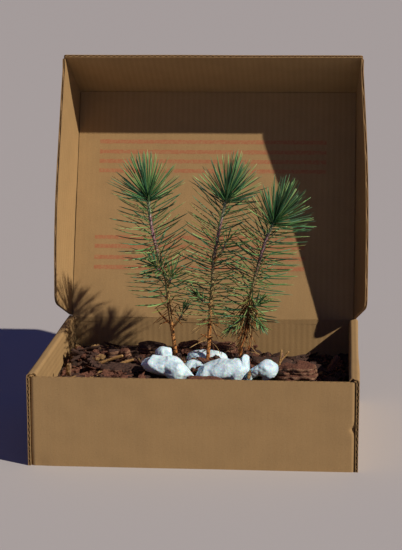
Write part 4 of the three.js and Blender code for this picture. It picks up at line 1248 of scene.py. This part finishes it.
# Each plant: its longest needles (tuft), how far its crown is shifted up the stem (rise), the shares of
# the stem that are bare and withered, and the places that the stem runs through. Shoots and tufts have
# the share of the stem where they start, their run, the length of their needles and how many; twigs
# have their start, run and thickness. A skirt is the number of dead needles that hang round the foot.
SEEDLINGS = {
    "left": {
        "seed": 11, "tuft": 45, "rise": 0.012, "bare": 0.27, "withered": 0.36,
        "path": [(-31.7, 37.6, STEM_FOOT), (-37.9, 30.7, 123.3), (-41.3, 26, 160),
                 (-48.6, 22.6, 186.5), (-55.2, 18.6, 216.8), (-58.5, 14, 252.1)],
        "shoots": [(0.44, (5, -9, 13), 21, 20), (0.19, (13, -3, 19), 13, 18)],
        "tufts": [(0.53, (-7, -7, 7), 24, 26)],
        "twigs": [(0.21, (-15, -5, 18), 1.25), (0.23, (-12, -5, -2), 0.9), (0.3, (-8, -8, 14), 0.8),
                  (0.26, (9, -5, 15), 0.8), (0.36, (-9, 3, 10), 0.7)],
    },
    "middle": {
        "seed": 23, "tuft": 46, "rise": 0.03, "bare": 0.13, "withered": 0.27,
        "path": [(3.9, 20.7, STEM_FOOT), (6, 22.4, 111.3), (8.5, 24.3, 156.7),
                 (10.4, 25.4, 182.4), (16.2, 26.7, 215.1), (23.3, 28, 245.9)],
        "shoots": [(0.62, (14, -6, 22), 17, 14), (0.36, (-12, -5, 8), 16, 24)],
        "tufts": [],
        "twigs": [(0.15, (-9, -6, 6), 0.8), (0.14, (5, -6, 5), 0.9), (0.22, (-7, -5, 9), 0.7)],
    },
    "right": {
        "seed": 37, "tuft": 46, "rise": 0.0, "bare": 0.05, "withered": 0.25,
        "path": [(36.1, 44, STEM_FOOT), (42.6, 38.1, 107.6), (50.5, 31.5, 147.4),
                 (57, 27.1, 173.8), (66, 21.8, 205.2), (75.8, 18, 227.9)],
        "shoots": [(0.31, (-14, -6, -11), 12, 24), (0.37, (11, -5, -14), 12, 26)],
        "tufts": [(0.36, (9, -8, 4), 20, 24)],
        "twigs": [(0.3, (-9, -7, -24), 0.9), (0.28, (-5, -9, -30), 0.8), (0.34, (2, -10, -40), 0.9),
                  (0.22, (-9, -5, -22), 0.8), (0.25, (5, -9, -26), 0.8), (0.18, (6, -6, -18), 0.9)],
        "skirt": 64,
    },
}

# The tones that needles are dealt, by weight. The pale, sunlit green is partly painted highlight, and the
# shaded green is painted shade.
FRESH = {"blue_green": 6, "mid_green": 3, "pale_and_sunlit_green": 3, "shaded_green": 3}
GROWN = {"blue_green": 4, "mid_green": 4, "pale_and_sunlit_green": 4, "shaded_green": 3, "olive_green": 1}
OLD = {"blue_green": 2, "mid_green": 4, "pale_and_sunlit_green": 4, "olive_green": 2, "shaded_green": 2}
DEAD = {"rust_brown": 3, "straw_brown": 4, "dark_brown": 2}
STRAW = {"rust_brown": 2, "straw_brown": 6, "dark_brown": 1}
# The masses as in the solids, with more needles: the share of the stem, the needles, how far they
# lean at their foot and top, how much they bend up, their length, and the tones that they are dealt.
MASSES = {
    "crown": {"from": 0.952, "to": 1.02, "count": 120, "lean": (74, 4), "lift": 4, "tones": FRESH},
    "upper": {"from": 0.655, "to": 0.952, "count": 88, "lean": (80, 66), "lift": 11, "length": 43,
              "tones": GROWN},
    "middle": {"from": 0.415, "to": 0.65, "count": 68, "lean": (86, 78), "lift": 10, "length": 42,
               "tones": GROWN},
    "lower": {"from": 0.235, "to": 0.41, "count": 48, "lean": (92, 84), "lift": 8, "length": 38,
              "tones": OLD},
    "dry": {"from": 0.06, "to": 0.32, "count": 24, "lean": (118, 92), "lift": -34, "length": 22,
            "tones": DEAD},
}
SHOOT = {"from": 0.55, "lean": (70, 10), "lift": 8, "tones": OLD}
SHOOT_RUNS_ON = 7.0  # how far its needles' places run on past its tip
SKIRT = {"from": 0.27, "to": 0.46, "lean": (168, 150), "lift": 8, "length": 34, "tones": STRAW}
LEAN_SPREAD = 10.0
TURN_SPREAD = 26.0
LENGTH_SPREAD = (0.84, 1.07)
LIFT_SPREAD = (0.3, 1.7)
WIDTH_SPREAD = (0.8, 1.1)
DRY_WIDTH = 0.7
ROOTED = 0.4  # how far a needle's foot lies under the bark
# A withered needle droops by this angle and has shrunk to this share of its length.
DROOP = 26.0
SHRUNK = 0.66
# Needles that point to the back stand in the shade, and are shorter by up to this share.
BACK_SHORTER = 0.5
SCARS_FROM, SCAR_STEP = 0.015, 0.022  # shares of the stem


def stem_radius(length):
    """An even taper with a short flare at the foot."""
    return lambda share: 1.3 + 0.85 * (1 - share) + 0.9 * np.exp(-share * length / 3)


def shoot_radius(share):
    """An even taper by a quarter."""
    return 1.35 - 0.35 * share


def shoot_core(share):
    """Where a shoot's needles start from, which is the same all along it."""
    return np.full(len(share), 0.9)


def grown(line, mass, root, random, bare=0.0, withered=0.0):
    """A mass's needles by the spiral rule: each starts a share further up and a turn of the spiral
    further round, leans from the limb by an angle that changes up the mass, and bends to its tip.
    None is left below the bare share, and those below the withered share hang and are shorter."""
    density = bpy.context.scene.seedling_plant.density
    count = int(mass["count"] * density)
    share = (np.arange(count) + random.uniform(0.2, 0.8, count)) / count
    along = mass["from"] + (mass["to"] - mass["from"]) * share
    foot, ahead = at_share(line, along)
    across, over = framed(ahead)
    turn = np.radians(SPIRAL * np.arange(count) + TURN_SPREAD * random.uniform(-0.5, 0.5, count))
    out = np.cos(turn)[:, None] * across + np.sin(turn)[:, None] * over
    first, last = mass["lean"]
    lean = np.radians(last + (first - last) * (1 - share)
                      + LEAN_SPREAD * random.uniform(-0.5, 0.5, count))
    lift = np.radians(mass["lift"] * random.uniform(*LIFT_SPREAD, count))
    reach = mass["length"] * random.uniform(*LENGTH_SPREAD, count)
    dead = along + 0.03 * random.normal(size=count) < withered
    if mass["tones"] not in (DEAD, STRAW):
        lean = np.where(dead, lean + math.radians(DROOP), lean)
        lift = np.where(dead, -lift, lift)
        reach = np.where(dead, SHRUNK * reach, reach)

    def heading(angle):
        return np.cos(angle)[:, None] * ahead + np.sin(angle)[:, None] * out

    reach = reach * (1 - BACK_SHORTER * np.clip(heading(lean) @ BACK, 0, 1))
    foot = foot + (root(along) - ROOTED)[:, None] * out
    middle = foot + heading(lean) * reach[:, None] / 2
    tip = middle + heading(lean - lift) * reach[:, None] / 2
    kept = along > bare
    return [part[kept] for part in (foot, middle, tip, along, turn, dead)]


class SEEDLINGS_OT_plants(bpy.types.Operator):
    """Grows the three seedlings: barked stems, side shoots, leaf scars and needles"""

    bl_idname = "seedlings.plants"
    bl_label = "Seedlings"

    def execute(self, context):
        made = finishes()
        for name, plant in SEEDLINGS.items():
            self.random = np.random.default_rng(plant["seed"])
            line = smooth_through(plant["path"])
            radius = stem_radius(run_of(line)[0])
            dealt = {tone: [] for tone in NEEDLE_TONES}
            cushions = []
            masses = {kind: dict(mass) for kind, mass in MASSES.items()}
            for kind, end in (("crown", "from"), ("crown", "to"), ("upper", "to")):
                masses[kind][end] += plant["rise"]
            if "skirt" in plant:
                masses["skirt"] = {**SKIRT, "count": plant["skirt"]}
            for kind, mass in masses.items():
                needles = grown(line, {"length": plant["tuft"], **mass}, radius, self.random,
                                plant["bare"], plant["withered"])
                self.deal(dealt, needles, mass["tones"])
                if kind in ("upper", "middle", "lower"):
                    cushions += list(zip(needles[3], needles[4]))
            marks = np.arange(SCARS_FROM, plant["withered"], SCAR_STEP)
            scars = list(zip(marks, np.radians(SPIRAL * np.arange(len(marks)) * 2)))
            put(f"stem_bark_{name}",
                [limb_surface(line, radius, 480, 40, 0.13, plant["seed"], cushions, scars)],
                [made["stem"], made["scar"]], "tray", [f"stem_{name}"], smooth=True)
            self.twigs(name, line, plant["twigs"], made)
            for k, (start, run, length, count) in enumerate(plant["shoots"] + plant["tufts"]):
                shoot = self.shoot(line, start, np.array(run, float))
                stands_for = [f"bough_{name}_{k + 1}"] if k < len(plant["shoots"]) else []
                put(f"shoot_bark_{name}_{k + 1}",
                    [limb_surface(shoot, shoot_radius, 80, 18, 0.1, 80 + k)],
                    [made["stem"]], "tray", stands_for, smooth=True)
                run_on = 1 + SHOOT_RUNS_ON / run_of(shoot)[0]
                mass = {**SHOOT, "to": run_on, "length": length, "count": count}
                self.deal(dealt, grown(shoot, mass, shoot_core, self.random), mass["tones"])
            self.dress(name, dealt, made)
        return {"FINISHED"}

    def shoot(self, line, start, run):
        """A side shoot: it sets out a little flatter than it ends."""
        foot = at_share(line, np.array([start]))[0][0]
        middle = foot + run / 2 + np.array([run[0] * 0.15, run[1] * 0.15, -1])
        return bowed(foot, middle, foot + run)

    def twigs(self, name, line, twigs, made):
        """Dead twigs that broke off short, each a bowed, furrowed limb."""
        rods = []
        for k, (start, run, thick) in enumerate(twigs):
            foot = at_share(line, np.array([start]))[0][0]
            sag = np.array([-0.18 * run[2], 0, 0.12 * abs(run[0])])
            twig = bowed(foot, foot + np.array(run) / 2 + sag, foot + np.array(run, float))
            rods.append(limb_surface(twig, lambda s: thick * (1 - 0.45 * s), 60, 14, 0.16, 120 + k))
        put(f"dead_twigs_{name}", rods, [made["dead_twig"]], "tray", smooth=True)

    def deal(self, dealt, needles, tones):
        """Deals each needle a tone, by the weights of its mass, or of dead needles."""
        dead = needles[5] & (tones not in (DEAD, STRAW))
        for chosen, weighed in ((~dead, tones), (dead, DEAD)):
            names = list(weighed)
            weights = np.array(list(weighed.values()), float)
            drawn = self.random.choice(len(names), len(dead), p=weights / weights.sum())
            for k, tone in enumerate(names):
                dealt[tone].append([part[chosen & (drawn == k)] for part in needles[:3]])

    def dress(self, name, dealt, made):
        """One piece for each tone; between them they stand for the plant's masses."""
        width = bpy.context.scene.seedling_plant.needle_width / MM
        shoots = [f"needles_shoot_{name}_{k}" for k in (1, 2)]
        nodes = {
            "blue_green": [f"needles_crown_{name}"],
            "mid_green": [f"needles_upper_{name}", f"needles_middle_{name}"],
            "pale_and_sunlit_green": [f"needles_lower_{name}", *shoots],
            "rust_brown": [f"needles_dry_{name}"],
        }
        for k, (tone, groups) in enumerate(dealt.items()):
            foot, middle, tip = (np.concatenate([group[i] for group in groups]) for i in range(3))
            if not len(foot):
                continue
            dry = tone.endswith("brown")
            sizes = width * self.random.uniform(*WIDTH_SPREAD, len(foot)) * (DRY_WIDTH if dry else 1.0)
            put(f"needles_{tone}_{name}", [blades(foot, middle, tip, sizes, 90 + k)], [made[tone]], "tray",
                nodes.get(tone, ()), smooth=True)


# Stage

PHOTO_SIZE = (402, 550)
CAMERA_AT = (147.0, -1783.0, 533.0)
YAW_RADIANS, PITCH_RADIANS, ROLL_RADIANS = -0.083, 0.200, -0.004
FOCAL_PIXELS = 1735.0
SENSOR = 36.0
LIT_AT = np.array([0.0, 0.0, 170.0])  # where both lights look
KEY_TRAVEL = np.array([-0.715, 0.390, -0.581])  # the way that the key light shines
KEY_DISTANCE = 3000.0
KEY_SPREAD = 0.9  # how wide the key light looks from the object
FILL_AT = np.array([-1600.0, -2400.0, 2200.0])
FILL_SIZE = 2600.0
KEY_COLOR, FILL_COLOR, AIR_COLOR, FLOOR_COLOR = "#fff3e2", "#e6eeff", "#8489dc", "#bab8ba"
AIR_STRENGTH = 0.15
FLOOR_HALF = 30000.0


class SEEDLINGS_OT_stage(bpy.types.Operator):
    """Sets the camera, a plain pale floor, a soft key light from the upper right and a wide fill"""

    bl_idname = "seedlings.stage"
    bl_label = "Stage"

    def execute(self, context):
        self.camera(context.scene)
        self.floor()
        sizes = context.scene.seedling_stage
        key = self.lamp("key", "SUN", LIT_AT - KEY_DISTANCE * KEY_TRAVEL, KEY_COLOR)
        key.energy, key.angle = sizes.key_strength, math.radians(KEY_SPREAD)
        fill = self.lamp("fill", "AREA", FILL_AT, FILL_COLOR)
        fill.energy, fill.size = sizes.fill_power, FILL_SIZE * MM
        world = bpy.data.worlds.new("studio")
        context.scene.world = world
        world.use_nodes = True
        background = world.node_tree.nodes["Background"]
        background.inputs["Color"].default_value = linear(AIR_COLOR)
        background.inputs["Strength"].default_value = AIR_STRENGTH
        context.scene.view_settings.view_transform = "Standard"
        return {"FINISHED"}

    def camera(self, scene):
        """It looks ahead by its yaw and pitch, level but for its roll."""
        data = bpy.data.cameras.new("camera")
        data.sensor_width = SENSOR
        data.lens = FOCAL_PIXELS / max(PHOTO_SIZE) * SENSOR
        data.clip_end = 100
        camera = linked("camera", data)
        sine, cosine = math.sin(YAW_RADIANS), math.cos(YAW_RADIANS)
        level = math.cos(PITCH_RADIANS)
        ahead = Vector((sine * level, cosine * level, -math.sin(PITCH_RADIANS)))
        right = Vector((cosine, -sine, 0))
        above = right.cross(ahead)
        side = right * math.cos(ROLL_RADIANS) + above * math.sin(ROLL_RADIANS)
        above = side.cross(ahead)
        camera.matrix_world = Matrix.Translation(Vector(CAMERA_AT) * MM) @ Matrix(
            (side, above, -ahead)).transposed().to_4x4()
        scene.camera = camera

    def floor(self):
        """One pale, matt sheet, far wider than the view."""
        half = FLOOR_HALF * MM
        mesh = bpy.data.meshes.new("floor")
        mesh.from_pydata([(-half, -half, 0), (half, -half, 0), (half, half, 0), (-half, half, 0)], [],
                         [(0, 1, 2, 3)])
        floor = linked("floor", mesh)
        material, _, shader = finish("matt_studio_paper", 0.9)
        shader.inputs["Base Color"].default_value = linear(FLOOR_COLOR)
        mesh.materials.append(material)

    def lamp(self, name, kind, at, color):
        """A light that shines from its place at the middle of the object."""
        data = bpy.data.lights.new(name, kind)
        data.color = linear(color)[:3]
        lamp = linked(name, data)
        lamp.location = at * MM
        lamp.rotation_euler = Vector(LIT_AT - at).to_track_quat("-Z", "Y").to_euler()
        return data


class SEEDLINGS_PT_panel(bpy.types.Panel):
    """Lists the operators in their order, then every size"""

    bl_label = "Seedlings"
    bl_idname = "SEEDLINGS_PT_panel"
    bl_space_type = "VIEW_3D"
    bl_region_type = "UI"
    bl_category = "Seedlings"

    def draw(self, context):
        for operator in OPERATORS:
            self.layout.operator(operator.bl_idname)
        for group in PROPERTIES:
            sizes = getattr(context.scene, group)
            for name in sizes.bl_rna.properties.keys():
                if name not in ("rna_type", "name"):
                    self.layout.prop(sizes, name)


PROPERTIES = {
    "seedling_board": BoardSizes,
    "seedling_ground": GroundSizes,
    "seedling_plant": PlantSizes,
    "seedling_stage": StageSizes,
}
OPERATORS = [SEEDLINGS_OT_stage, SEEDLINGS_OT_tray, SEEDLINGS_OT_lid, SEEDLINGS_OT_mulch,
             SEEDLINGS_OT_stones, SEEDLINGS_OT_plants]


def register():
    for cls in [*PROPERTIES.values(), *OPERATORS, SEEDLINGS_PT_panel]:
        bpy.utils.register_class(cls)
    for name, group in PROPERTIES.items():
        setattr(bpy.types.Scene, name, bpy.props.PointerProperty(type=group))


def unregister():
    for name in PROPERTIES:
        delattr(bpy.types.Scene, name)
    for cls in [SEEDLINGS_PT_panel, *OPERATORS, *PROPERTIES.values()]:
        bpy.utils.unregister_class(cls)


def main():
    register()
    bpy.ops.seedlings.stage()
    bpy.ops.seedlings.tray()
    bpy.ops.seedlings.lid()
    bpy.ops.seedlings.mulch()
    bpy.ops.seedlings.stones()
    bpy.ops.seedlings.plants()


if __name__ == "__main__":
    main()
